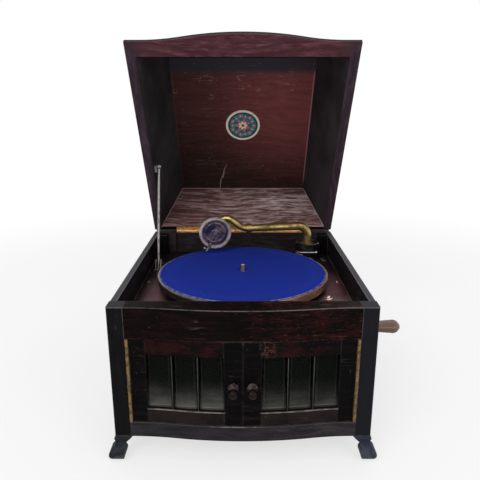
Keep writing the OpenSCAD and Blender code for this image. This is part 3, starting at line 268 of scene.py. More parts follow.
def edge_rub(finish, box, width):
    """1 along the edges of a box, 0 elsewhere: where two of its faces are near."""
    low, high = box
    x, y, z = finish.parts(finish.place())
    near = [(a - low[i]).less(high[i] - a) for i, a in enumerate((x, y, z))]
    first, second = near[0].less(near[1]), near[0].more(near[1])
    middle = first.more(second.less(near[2]))
    return 1 - finish.step(middle, 0.0, width)


def chips(finish, scale, low, high):
    """Small broken patches that interrupt a worn edge."""
    return finish.patches(finish.place(shift=(1, 3, 1)), scale, 4, 0.7, low, high)


def scratches(finish, stretch, turn, shift, hairlines, specks):
    """Hairlines that wander along the grain in some patches, and small specks."""
    wander = finish.noise(finish.place(tuple(0.9 if s < 2 else 13.0 for s in stretch), turn,
                                       (1.7, 0.2, 0.4)), 6.0, 2, 0.4)
    patch = finish.patches(finish.place(turn=turn, shift=(5, 2, 1 + shift)), 24.0, 3, 0.6,
                           0.54, 0.64)
    dots = finish.patches(finish.place(turn=turn, shift=(9, 4, 7)), 260.0, 2, 0.4, 0.715, 0.75)
    return (finish.near(wander, 0.5, 0.003, 0.018) * patch * hairlines).more(dots * specks)


def wood(name, tones, along="X", turn=(0, 0, 0), streak=1.0, crisp=0.3, roughness=0.45,
         shine=0.0, specular=0.06, pores=0.6, grain_bump=0.00012, hairlines=0.0, specks=0.0,
         pale=tone(95, 88, 88), rub=None, rub_share=0.7, shift=0.0, shade=None, marked=None):
    """Stained wood: drifting stain, drawn-out grain with pores, rubbed edges, fine scratches."""
    dark, middle, bright = tones
    finish = Finish(name, Specular_IOR_Level=specular, Coat_Weight=shine, Coat_Roughness=0.22)
    stretch = {"X": (1.3, 16, 16), "Y": (16, 1.3, 16), "Z": (16, 16, 1.3)}[along]
    fine_stretch = tuple(3.2 if s < 2 else 3.2 * s for s in stretch)
    long_place = finish.place(stretch, turn, (shift, shift * 0.7, shift * 1.3))
    sway = finish.node("TexNoise", {"Vector": finish.place(turn=turn), "Scale": 4.0,
                                    "Detail": 2.0}, output=1)
    grain = finish.noise(finish.node("VectorMath", [long_place, sway], operation="ADD"),
                         9.0, 6, 0.62)
    fine = finish.noise(finish.place(fine_stretch, turn), 22.0, 3, 0.6)
    pore = finish.patches(finish.place(fine_stretch, turn, (3, 3, 3)), 38.0, 2, 0.5,
                          0.60, 0.68) * pores
    drift = finish.patches(finish.place(turn=turn, shift=(shift, 0, 0)), 5.5, 3, 0.55,
                           0.36, 0.66)
    spread = 0.16 * (1.1 - crisp)
    lines = finish.step(grain, 0.50 - spread, 0.50 + spread)
    light_bands = finish.step(grain * 0.6 + fine * 0.4, 0.50, 0.62)
    colour = finish.mix(lines * streak, dark, middle)
    colour = finish.mix(light_bands * drift * streak, colour, bright)
    colour = finish.mix(pore, colour, tuple(c * 0.4 for c in dark))
    rough = roughness + fine * 0.12 + drift * 0.06
    height = grain * 0.5 + fine * 0.5 - pore * 0.8
    if shade:
        colour = shade(finish, colour, grain)
    if hairlines or specks:
        cut = scratches(finish, stretch, turn, shift, hairlines, specks)
        if marked:
            cut = cut * marked(finish)
        colour = finish.mix(cut, colour, pale)
        height = height - cut * 0.6
    if rub:
        worn = edge_rub(finish, rub, 0.0016) * (
            finish.patches(finish.place(), 55.0, 4, 0.7, 0.36, 0.56) * 0.75 + 0.25)
        colour = finish.mix(worn * rub_share, colour, pale)
        rough = rough + worn * 0.2
    finish.set(Base_Color=colour, Roughness=rough)
    finish.bump(height, grain_bump)
    return finish.material


def metal(name, colour, tarnish, roughness, cover, scale, pits=0.3, metallic=1.0, shade=None):
    """Metal with patches of tarnish, fine wear lines and pits."""
    finish = Finish(name, Specular_IOR_Level=0.5)
    cloud = finish.noise(finish.place(), scale, 5, 0.62)
    dirt = finish.step(cloud, *cover)
    fine = finish.noise(finish.place(), scale * 6, 3, 0.6)
    pit = finish.patches(finish.place(shift=(2, 5, 1)), scale * 9, 2, 0.5, 0.66, 0.72) * pits
    skin = finish.mix(dirt, colour, tarnish)
    if shade:
        skin = shade(finish, skin, cloud)
    skin = finish.mix(pit, skin, tuple(c * 0.3 for c in tarnish))
    finish.set(Base_Color=skin, Metallic=metallic - dirt * 0.25 - pit * 0.4,
               Roughness=roughness + fine * 0.14 + dirt * 0.22)
    finish.bump(fine * 0.4 - pit - dirt * 0.3, 0.00006)
    return finish.material


def felt_finish():
    """Blue felt: matted fibres, faint worn rings where records turned, lint and a few stains."""
    finish = Finish("blue_felt", Specular_IOR_Level=0.05, Sheen_Weight=0.04,
                    Sheen_Roughness=0.5, Sheen_Tint=(0.3, 0.4, 1.0))
    x, y, _ = finish.parts(finish.place(shift=ON_TURNTABLE))
    radius = (x * x + y * y) ** 0.5
    fibres = finish.noise(finish.place(), 900.0, 4, 0.75)
    matting = finish.noise(finish.place(shift=(1, 2, 0)), 130.0, 5, 0.65)
    cloud = finish.patches(finish.place(shift=(4, 1, 0)), 16.0, 4, 0.6, 0.42, 0.72)
    ring = finish.step(radius, 0.118, 0.128) * (1 - finish.step(radius, 0.134, 0.146))
    colour = finish.mix(finish.step(fibres, 0.30, 0.72), (0.0075, 0.022, 0.240),
                        (0.0125, 0.034, 0.350))
    colour = finish.mix(cloud * 0.4, colour, (0.013, 0.024, 0.200))
    colour = finish.mix(ring * matting * 0.30, colour, (0.028, 0.048, 0.360))
    lint = finish.patches(finish.place(shift=(7, 3, 0)), 330.0, 2, 0.4, 0.715, 0.745)
    colour = finish.mix(lint * 0.35, colour, (0.12, 0.15, 0.45))
    spots = finish.patches(finish.place(shift=(2, 8, 0)), 85.0, 3, 0.55, 0.66, 0.71)
    colour = finish.mix(spots * 0.55, colour, (0.020, 0.022, 0.100))
    frayed = finish.step(radius, 0.1465, 0.1485) * finish.step(matting, 0.35, 0.6)
    colour = finish.mix(frayed * 0.6, colour, (0.34, 0.33, 0.40))
    finish.set(Base_Color=colour, Roughness=0.93 - lint * 0.1)
    finish.bump(fibres * 0.6 + matting * 0.6, 0.0005)
    return finish.material


def glass_finish():
    """Door glass: smoky plate glass, its ground edges, and a pale haze that grows towards its foot.
    """
    body, haze_tone, least_cover = (0.0034, 0.0048, 0.0030), (0.200, 0.190, 0.168), 0.88
    finish = Finish("door_glass", Specular_IOR_Level=0.03)
    x, _, z = cabinet_parts(finish)
    cloud = finish.noise(finish.place(), 22.0, 5, 0.6)
    smear = finish.patches(finish.place((1, 1, 5)), 30.0, 4, 0.6, 0.22, 0.75)
    low = 1 - finish.step(z + cloud * 0.030, 0.088, 0.158)
    foot = 1 - finish.step(z + cloud * 0.010, 0.088, 0.106)
    left = 1 - finish.step(x, -0.02, 0.02)
    # Paler and more opaque towards the foot, more so on the left door
    pale_low = (low ** 1.4) * (smear * 0.5 + 0.5)
    upright = beside(finish, x.size(), 1.1, *(
        edge + GROUND * way for pair in PANE_SIDES for edge, way in zip(pair, (1, -1))))
    level = beside(finish, z, 1.2, PANE_LOW + GROUND, PANE_HIGH - GROUND)
    bevel = (upright * (low * 0.10 + 0.07)).more(level * (low * 0.34 + 0.07))
    haze = (pale_low * (left * 0.26 + 0.33) + foot * 0.14 + bevel).less(1.0)
    cover = haze * (1 - least_cover) + least_cover
    finish.set(Base_Color=finish.mix(haze / cover, body, haze_tone), Alpha=cover,
               Roughness=pale_low * 0.5 + bevel * 0.6 + 0.05)
    return finish.material


def enamel(name, colour):
    """Gloss paint with small chips and a slightly uneven skin."""
    finish = Finish(name, Specular_IOR_Level=0.5, Coat_Weight=0.3, Coat_Roughness=0.1)
    skin = finish.noise(finish.place(), 90.0, 3, 0.5)
    chip = finish.patches(finish.place(shift=(3, 1, 2)), 150.0, 4, 0.65, 0.66, 0.70) * 0.5
    paint = finish.mix(skin, colour, tuple(c * 1.25 for c in colour))
    finish.set(Base_Color=finish.mix(chip, paint, (0.25, 0.24, 0.22)),
               Roughness=0.22 + skin * 0.12 + chip * 0.3)
    finish.bump(skin * 0.3 - chip, 0.00008)
    return finish.material


def rosette_finish():
    """Enamelled plate: a plain rosette, a waved vine and a bead row inside a pale ring."""
    finish = Finish("rosette_enamel", Specular_IOR_Level=0.3, Roughness=0.35)
    x, y, _ = lid_parts(finish)
    y = y - ROSETTE_Y * MM
    reach = (x * x + y * y) ** 0.5 / (ROSETTE_R * MM)
    turn = finish.node("Math", (y, x), operation="ARCTAN2")

    def waved(count, start=0.0):
        return finish.node("Math", [turn * count + start], operation="COSINE")

    def under(limit, soft=0.03):
        return 1 - finish.step(reach - limit, -soft, soft)

    def band(centre, half, soft=0.025):
        return finish.near(reach, centre, half - soft, half + soft)

    mottle = finish.noise(finish.place(), 210.0, 4, 0.65)
    worn = finish.patches(finish.place(shift=(1, 1, 1)), 160.0, 3, 0.6, 0.60, 0.68)
    colour = tone(8, 44, 62, ROSETTE_LIGHT)
    for share, paint in (
            (finish.step(mottle, 0.35, 0.62), (22, 96, 96)),
            (band(waved(7) * 0.10 + 0.62, 0.045), (128, 62, 78)),
            (band(0.62, 0.05) * finish.step(waved(14), 0.55, 0.85), (150, 140, 84)),
            (under(waved(7, math.pi) * 0.11 + 0.33), (150, 66, 74)),
            (under(waved(7) * 0.05 + 0.22), (168, 156, 120)),
            (under(0.09), (20, 60, 80)),
            (band(0.83, 0.035), (14, 34, 44)),
            (finish.step(reach, 0.86, 0.89), (168, 158, 142)),
            (worn * 0.5, (60, 62, 60))):
        colour = finish.mix(share, colour, tone(*paint, ROSETTE_LIGHT))
    finish.set(Base_Color=colour)
    finish.bump(mottle * 0.3 - worn * 0.5, 0.0001)
    return finish.material


def mica_finish():
    """Thin disc, brownish with a painted violet and blue reflection that shifts across it."""
    finish = Finish("mica_disc", Specular_IOR_Level=0.3, Coat_Weight=0.25, Coat_Roughness=0.08)
    reflection_cloud = finish.noise(finish.place(), 60.0, 3, 0.5)
    # Painted reflection: the colour moves between violet, brown and blue across the disc
    colour = finish.node("ValToRGB", [reflection_cloud], stops=[
        (0.38, (0.022, 0.016, 0.060)), (0.48, (0.075, 0.050, 0.085)),
        (0.56, (0.170, 0.130, 0.110)), (0.64, (0.060, 0.045, 0.200))])
    finish.set(Base_Color=colour, Metallic=0.35, Roughness=0.28 + reflection_cloud * 0.15)
    return finish.material


def dress(node, material):
    """Gives a carried-over CAD node a finish."""
    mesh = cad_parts[node].data
    mesh.materials.clear()
    mesh.materials.append(material)


# -------------------------------- wear, painted light and painted shade of single parts

def top_face(finish, z):
    """1 on the case's upper rim, 0 below it."""
    return finish.step(z, (RIM - 1.2) * MM, (RIM - 0.4) * MM)


def rail_wear_and_edge_highlight(finish, colour, grain):
    """The top rail's rubbed red patches, its light top edge, a painted highlight broken by chips,
    and the rough right end.
    """
    x, _, z = cabinet_parts(finish)
    right = finish.step(x, -0.03, 0.05)
    patch = finish.patches(finish.place((0.8, 1, 3.2), shift=(2, 0, 5)), 34.0, 6, 0.74, 0.46, 0.66)
    colour = finish.mix(patch * (right * 0.36 + 0.10), colour, tone(62, 22, 22))
    flecks = finish.patches(finish.place((0.5, 1, 2.6), shift=(4, 0, 1)), 150.0, 4, 0.7,
                            0.58, 0.66)
    colour = finish.mix(flecks * (right * 0.38 + 0.10), colour, tone(84, 52, 44))
    # Painted highlight along the top front edge, where a rounded arris would catch the light; chips
    # break it
    edge = beside(finish, z, 1.4, RIM) * (1 - finish.step(face_depth(finish), 0.0004, 0.0015))
    middle = finish.step(x, -0.13, -0.02) * 0.45 + 0.55
    return finish.mix(edge * middle * (chips(finish, 70.0, 0.34, 0.52) * 0.6 + 0.2), colour,
                      tone(118, 112, 112))


def foot_rail_wear(finish, colour, grain):
    """Light upper edge of the bottom rail and its scuffed middle."""
    x, _, z = cabinet_parts(finish)
    scuff = finish.near(x, -0.012, 0.015, 0.05) * chips(finish, 60.0, 0.40, 0.60)
    return finish.mix(beside(finish, z, 1.4, RAIL_TOP) * (scuff * 0.8 + 0.15), colour,
                      tone(140, 134, 130))


def door_wear(finish, colour, grain):
    """A paler lower rail, a redder worn upper rail, light lines round the glass and the edges."""
    x, _, z = cabinet_parts(finish)
    side = x.size()
    low = 1 - finish.step(z, 84 * MM, 87 * MM)
    high = finish.step(z, 174 * MM, 177 * MM)
    within = finish.step(side, 24 * MM, 29 * MM) * (1 - finish.step(side, 139 * MM, 143 * MM))
    clouds = finish.noise(finish.place((1, 1, 1.6), shift=(3, 0, 2)), 30.0, 5, 0.66)
    colour = finish.mix(low * within * (finish.step(clouds, 0.35, 0.60) * 0.6 + 0.4), colour,
                        tone(36, 29, 30))
    colour = finish.mix(high * within * finish.step(clouds, 0.40, 0.66) * 0.50, colour,
                        tone(56, 20, 21))
    scribble = finish.near(finish.noise(finish.place(shift=(5, 0, 3)), 120.0, 3, 0.6), 0.5,
                           0.015, 0.050)
    scribbled = finish.near(x, 0.036, 0.004, 0.016) * finish.step(z, 0.172, 0.182)
    colour = finish.mix(scribble * scribbled * 0.4, colour, tone(112, 90, 76))
    chip = chips(finish, 80.0, 0.42, 0.56)
    lines = beside(finish, side, 1.0, PANE_SIDES[0][0], PANE_SIDES[-1][-1]) * within.more(0.2)
    colour = finish.mix(lines * (chip * 0.3 + 0.08), colour, tone(80, 74, 70))
    foot = beside(finish, z, 1.4, PANE_LOW) * within * (
        1 - finish.step(face_depth(finish), 0.0020, 0.0042))
    colour = finish.mix(foot * (chip * 0.45 + 0.45), colour, tone(150, 138, 126))
    meeting = beside(finish, side, 1.0, 1.0) * finish.step(z, 0.192, 0.198)
    outer = beside(finish, side, 1.2, STILE_EDGE).more(
        beside(finish, z, 1.2, DOOR_LOW, DOOR_HIGH)).more(meeting)
    return finish.mix(outer * chip * 0.45, colour, tone(80, 66, 60))


def post_wear_and_sheen(finish, colour, grain):
    """Light arrises at the posts' tops and inner edges, a painted bluish sheen on the right post
    and a painted sheen on their tops.
    """
    x, y, z = cabinet_parts(finish)
    side = x.size()
    front = 1 - finish.step(y, 0.0004, 0.0018)
    inner = beside(finish, side, 1.2, POST_EDGE) * front * finish.step(z, 0.198, 0.204) * 0.6
    top = beside(finish, z, 1.6, RIM) * front
    outer = beside(finish, side, 1.3, HALF_WIDTH) * front * 0.35
    # Painted sheen: the right post bluer and lighter than the left
    colour = finish.mix(finish.step(x, -0.05, 0.05) * 0.6, colour, tone(30, 31, 37))
    # Painted sheen where the light grazes the posts' tops
    colour = finish.mix(top_face(finish, z) * 0.8, colour, tone(50, 50, 55))
    return finish.mix(inner.more(top).more(outer) * (chips(finish, 70.0, 0.36, 0.54) * 0.5 + 0.3),
                      colour, tone(104, 102, 104))


def side_top_sheen(finish, colour, grain):
    """The side panels' upper edges, painted greyer and lighter than their faces as a painted sheen
    of grazing light, with a pale line along their inner edges.
    """
    x, _, z = cabinet_parts(finish)
    top = top_face(finish, z)
    # Painted sheen on the top faces
    colour = finish.mix(top * 0.85, colour, tone(66, 66, 72))
    return finish.mix(beside(finish, x.size(), 1.6, SIDE_INNER) * top * 0.6, colour,
                      tone(120, 120, 124))


def toe_tones(finish, colour, grain):
    """The right foot catches more blue light than the left, and both are rubbed on the toe."""
    x, y, _ = cabinet_parts(finish)
    colour = finish.mix(finish.step(x, -0.05, 0.05) * 0.6, colour, tone(42, 47, 60))
    rubbed = (1 - finish.step(y, -0.010, 0.004)) * finish.patches(
        finish.place(), 48.0, 4, 0.66, 0.44, 0.62)
    return finish.mix(rubbed * 0.45, colour, tone(84, 88, 100))


def board_painted_reflections_and_pale_corner(finish, colour, grain):
    """Painted reflections: red brown patches on the motor board at each side of the turntable, and
    a paler patch at its right front corner.
    """
    x, y, _ = cabinet_parts(finish)
    cloud = finish.patches(finish.place(shift=(6, 1, 2)), 14.0, 4, 0.6, 0.30, 0.60) * 0.6 + 0.3
    left = finish.near(x, -0.150, 0.006, 0.030) * finish.near(y, 0.160, 0.030, 0.085)
    right = finish.near(x, 0.160, 0.008, 0.032) * finish.near(y, 0.200, 0.030, 0.080)
    front = finish.step(x, 0.120, 0.150) * (1 - finish.step(y, 0.130, 0.155))
    # Painted reflections at the left and right of the turntable
    colour = finish.mix(left.more(right) * cloud, colour, tone(76, 46, 50, BOARD_LIGHT))
    return finish.mix(front * cloud, colour, tone(98, 76, 74, BOARD_LIGHT))


def outside_tones(finish, grain):
    """The lid's outer faces: near black mahogany, a little redder in the grain's lighter bands."""
    cloud = finish.patches(finish.place(turn=UNTURN, shift=(8, 2, 5)), 9.0, 4, 0.6, 0.38, 0.66)
    red = finish.mix(cloud, tone(26, 15, 15), tone(44, 24, 23))
    return finish.mix(finish.step(grain, 0.44, 0.60), tone(17, 12, 12), red)


def above_inner_face(finish, z):
    """0 up to the top panel's inner face, 1 on the faces outside it."""
    return finish.step(z, (LID_DEPTH + 0.3) * MM, (LID_DEPTH + 1.2) * MM)


def behind_lower_edge(finish, z):
    """0 on the lower edge of the lid's walls, 1 on their faces."""
    return finish.step(z, 0.0016, 0.0030)


def lid_inside(finish):
    """1 on the faces that the lid's top panel turns inwards."""
    _, _, z = lid_parts(finish)
    return 1 - above_inner_face(finish, z)


def panel_glare_and_shadow(finish, colour, grain):
    """The lid panel is painted redder and lighter to the right and above as a painted glare, with a
    painted shadow as a dark strip at the top.
    """
    x, y, z = lid_parts(finish)
    across = x / (PANEL_HALF * MM)
    up = (y - PANEL_BACK * MM) / ((PANEL_FRONT - PANEL_BACK) * MM)
    veins = finish.step(grain, 0.34, 0.62) * 0.26 + 0.72
    # Painted glare: the panel lightens towards the right and above, broken by the grain
    glow = finish.step(up + across * 0.12, 0.02, 0.62) * (
        finish.step(across, -0.75, 0.85) * 0.72 + 0.20)
    colour = finish.mix(glow * veins, colour, tone(86, 44, 43, PANEL_LIGHT))
    # Painted shadow: a dark bluish strip where the front wall shades the panel's top
    shadow_strip = finish.step(up, 0.745, 0.800)
    colour = finish.mix(shadow_strip * 0.92, colour, tone(26, 29, 33, PANEL_LIGHT))
    wander = finish.noise(finish.place((2.2, 12, 12), UNTURN, (0.3, 0.9, 0.1)), 7.0, 3, 0.5)
    few = finish.patches(finish.place(turn=UNTURN, shift=(5, 1, 2)), 30.0, 3, 0.6, 0.50, 0.60)
    high = finish.step(up, 0.60, 0.68) * (1 - shadow_strip)
    lines = finish.near(wander, 0.5, 0.004, 0.022) * few * (high * 0.8 + 0.2)
    colour = finish.mix(lines * 0.55, colour, tone(104, 78, 74, PANEL_LIGHT))
    jitter = finish.noise(finish.place(turn=UNTURN), 45.0, 3, 0.7) - 0.5
    track = (x + 0.056 + up * -0.10 + jitter * 0.016).size()
    scratch = (1 - finish.step(track, 0.0004, 0.0017)) * (
        1 - finish.step(up, 0.15, 0.20)) * few.more(0.55)
    colour = finish.mix(scratch * 0.8, colour, tone(128, 108, 92, PANEL_LIGHT))
    edge = beside(finish, x.size(), 1.6, PANEL_HALF - 1.5)
    edge = edge * finish.step(up, 0.02, 0.10) * (1 - shadow_strip)
    colour = finish.mix(edge * (finish.step(across, -0.2, 0.2) * 0.5 + 0.05), colour,
                        tone(120, 92, 88, PANEL_LIGHT))
    return finish.mix(above_inner_face(finish, z), colour, outside_tones(finish, grain))


def back_board_streaks(finish, colour, grain):
    """The lid's back board: browner to the left, bleached to the right, pale along its edges."""
    x, y, z = lid_parts(finish)
    bleach = finish.step(x, -0.12, 0.06) * finish.patches(
        finish.place((1.2, 5, 5), UNTURN, (1, 2, 3)), 6.0, 4, 0.6, 0.34, 0.62)
    colour = finish.mix(bleach * (finish.step(grain, 0.42, 0.60) * 0.62 + 0.16), colour,
                        tone(160, 144, 144, BACK_BOARD_LIGHT))
    dark = 1 - finish.patches(finish.place((2.4, 30, 30), UNTURN, (3, 1, 4)), 11.0, 5, 0.62,
                              0.40, 0.48)
    colour = finish.mix(dark * 0.85, colour, tone(58, 34, 35, BACK_BOARD_LIGHT))
    rim = finish.near(x.size() + z * LID_SLOPE, 0.177, 0.0006, 0.0020).more(
        beside(finish, z, 1.6, LID_DEPTH - 0.5))
    colour = finish.mix(rim * 0.75, colour, tone(150, 128, 126, BACK_BOARD_LIGHT))
    return finish.mix(finish.step(y, -0.0135, -0.0115), colour, outside_tones(finish, grain))


def side_rim(finish, colour, grain):
    """The side walls' violet grey rim; their inner faces are a dull greenish black."""
    x, _, z = lid_parts(finish)
    wall = behind_lower_edge(finish, z)
    outer = finish.step(x.size() + z * LID_SLOPE, 0.180, 0.184)
    cloud = finish.patches(finish.place(turn=UNTURN, shift=(4, 4, 4)), 13.0, 4, 0.6, 0.35, 0.65)
    inner = finish.mix(cloud, tone(21, 20, 20, LID_WALL_LIGHT), tone(34, 32, 33, LID_WALL_LIGHT))
    colour = finish.mix(wall * (1 - outer) * 0.85, colour, inner)
    return finish.mix(wall * outer * 0.85, colour, outside_tones(finish, grain))


def rim_flecks(finish, colour, grain):
    """The lid's front rim: red wood rubbed pale in short flecks, darker at the corners."""
    x, _, z = lid_parts(finish)
    fleck = finish.patches(finish.place((2.0, 9, 9), UNTURN, (2, 6, 3)), 17.0, 4, 0.66,
                           0.56, 0.66)
    colour = finish.mix(fleck * 0.28, colour, tone(124, 80, 88, RIM_LIGHT))
    corner = finish.step(x.size(), 0.145, 0.185)
    colour = finish.mix(corner * 0.75, colour, tone(46, 37, 43, RIM_LIGHT))
    return finish.mix(behind_lower_edge(finish, z) * 0.9, colour, outside_tones(finish, grain))


def knob_neck_highlight(finish, colour, grain):
    """The knobs' necks carry a painted highlight, stronger on their upper side and broken into
    patches; their balls stay dark red brown.
    """
    _, y, z = cabinet_parts(finish)
    neck = finish.step(y, -0.0270, -0.0225)
    lit_upper_side = finish.step(z, 0.1265, 0.1300) * 0.7 + 0.3
    worn = finish.patches(finish.place(), 260.0, 3, 0.6, 0.42, 0.60) * 0.55 + 0.15
    # Painted highlight on the necks, broken into patches
    return finish.mix(neck * lit_upper_side * worn, colour, tone(120, 106, 102))


def platter_rust_and_shadow(finish, skin, cloud):
    """Plating left along the turntable's left edge with a painted shadow darkening the skirt below
    it, and rust on its right side.
    """
    x, y, z = finish.parts(finish.place(shift=ON_TURNTABLE))
    right = finish.step(x - y * 0.6 + (cloud - 0.5) * 0.10, 0.035, 0.085)
    # Painted shadow on the left side of the skirt, below the plated lip
    skin = finish.mix((1 - right) * (1 - finish.step(z, 0.2240, 0.2252)) * 0.93, skin,
                      (0.020, 0.018, 0.017))
    skin = finish.mix(right * 0.85, skin, (0.42, 0.185, 0.115))
    bloom = finish.step(cloud, 0.52, 0.62) * right
    return finish.mix(bloom * 0.6, skin, (0.52, 0.36, 0.28))


# -------------------------------- finishes of the CAD nodes

DARK_RAIL = stain((5, 3, 3), (9, 5, 5), (30, 12, 11))
DOOR_WOOD = stain((4, 3, 3), (7, 6, 6), (25, 17, 16))
FOOT_RAIL = stain((33, 30, 33), (46, 43, 48), (64, 57, 58))
POST = stain((11, 11, 12), (15, 15, 17), (25, 26, 30))
WELL_BACK = stain((22, 17, 18), (31, 26, 27), (42, 35, 36), WELL_LIGHT)
CASE_SIDE = stain((14, 12, 14), (24, 21, 24), (42, 36, 40))
FOOT = stain((26, 28, 34), (40, 43, 51), (60, 66, 80))
BOARD = stain((13, 9, 12), (21, 16, 20), (44, 30, 31), BOARD_LIGHT)
# The horn's boards: a darker copy of the plain wood, painted shade for the dim space behind the
# glass
SHADED_INSIDE = stain((12, 11, 9), (20, 18, 15), (34, 30, 25))
PLAIN = ((0.070, 0.038, 0.022), (0.140, 0.082, 0.048), (0.210, 0.130, 0.080))
LID_FRONT = stain((66, 36, 42), (82, 48, 55), (98, 60, 66), RIM_LIGHT)
LID_SIDE = stain((46, 35, 42), (58, 46, 53), (74, 62, 70), RIM_LIGHT)
LID_PANEL = stain((25, 17, 15), (31, 20, 18), (40, 25, 23), PANEL_LIGHT)
BACK_BOARD = stain((66, 44, 43), (98, 76, 74), (126, 106, 104), BACK_BOARD_LIGHT)
KNOB = stain((16, 8, 8), (30, 14, 13), (58, 28, 26))
HANDLE = ((0.160, 0.088, 0.066), (0.265, 0.165, 0.135), (0.370, 0.260, 0.225))

# Node, tones, the way its grain runs, and what else is its own
case_side = dict(specular=0.10, hairlines=0.3, specks=0.2, shade=side_top_sheen)
door_frame = dict(specular=0.04, rub_share=0.15, specks=0.3, shade=door_wear)
foot = dict(streak=0.6, specular=0.12, roughness=0.4)
for node, tones, along, extra in (
        ("top_front_rail", DARK_RAIL, "X", dict(specular=0.04, hairlines=0.5, specks=0.4,
                                                pale=tone(84, 66, 58), shade=rail_wear_and_edge_highlight)),
        ("bottom_front_rail", FOOT_RAIL, "X", dict(specks=0.2, shade=foot_rail_wear)),
        ("front_posts", POST, "Z", dict(streak=0.6, hairlines=0.25, specks=0.2,
                                        shade=post_wear_and_sheen)),
        ("left_side_panel", CASE_SIDE, "Y", case_side),
        ("right_side_panel", CASE_SIDE, "Y", dict(case_side, shift=2.0)),
        ("back_panel", WELL_BACK, "X", dict(hairlines=0.3, shift=4.0)),
        ("rear_posts", POST, "Z", dict(streak=0.5)),
        ("left_door_frame", DOOR_WOOD, "X", dict(door_frame, hairlines=0.12, shift=1.0)),
        ("right_door_frame", DOOR_WOOD, "X", dict(door_frame, hairlines=0.15, shift=6.0)),
        ("front_feet", FOOT, "X", dict(foot, shade=toe_tones)),
        ("rear_feet", FOOT, "X", foot),
        ("bottom_board", PLAIN, "X", dict(roughness=0.7)),
        ("board_cleats", PLAIN, "Y", dict(roughness=0.7)),
        ("horn_sides", SHADED_INSIDE, "Y", dict(roughness=0.65)),
        ("horn_roof", SHADED_INSIDE, "X", dict(roughness=0.65)),
        ("horn_floor", SHADED_INSIDE, "X", dict(roughness=0.65)),
        ("motor_board", BOARD, "X", dict(specular=0.22, roughness=0.30, specks=0.5,
                                         hairlines=0.3, pale=tone(110, 92, 90, BOARD_LIGHT),
                                         shade=board_painted_reflections_and_pale_corner))):
    dress(node, wood(node + "_wood", tones, along, rub=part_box(node), **extra))

for node, tones, along, extra in (
        ("lid_front", LID_FRONT, "X", dict(specular=0.08, hairlines=0.3, pale=tone(130, 100, 105),
                                           shade=rim_flecks)),
        ("lid_left_side", LID_SIDE, "Y", dict(specular=0.05, shade=side_rim)),
        ("lid_right_side", LID_SIDE, "Y", dict(specular=0.05, shift=3.0, shade=side_rim)),
        ("lid_top_panel", LID_PANEL, "X", dict(specular=0.05, specks=0.45, roughness=0.4,
                                               pale=tone(120, 92, 84, PANEL_LIGHT),
                                               shade=panel_glare_and_shadow, marked=lid_inside)),
        ("lid_back", BACK_BOARD, "X", dict(crisp=0.7, specular=0.05, pores=0.9,
                                           grain_bump=0.0003, shade=back_board_streaks))):
    dress(node, wood(node + "_wood", tones, along, UNTURN, **extra))

for node in ("left_door_knob", "right_door_knob"):
    dress(node, wood(node + "_wood", KNOB, "Y", specular=0.09, roughness=0.22, shade=knob_neck_highlight))
dress("crank_handle", wood("handle_wood", HANDLE, "X", specular=0.25, shine=0.1,
                           roughness=0.4, hairlines=0.3))

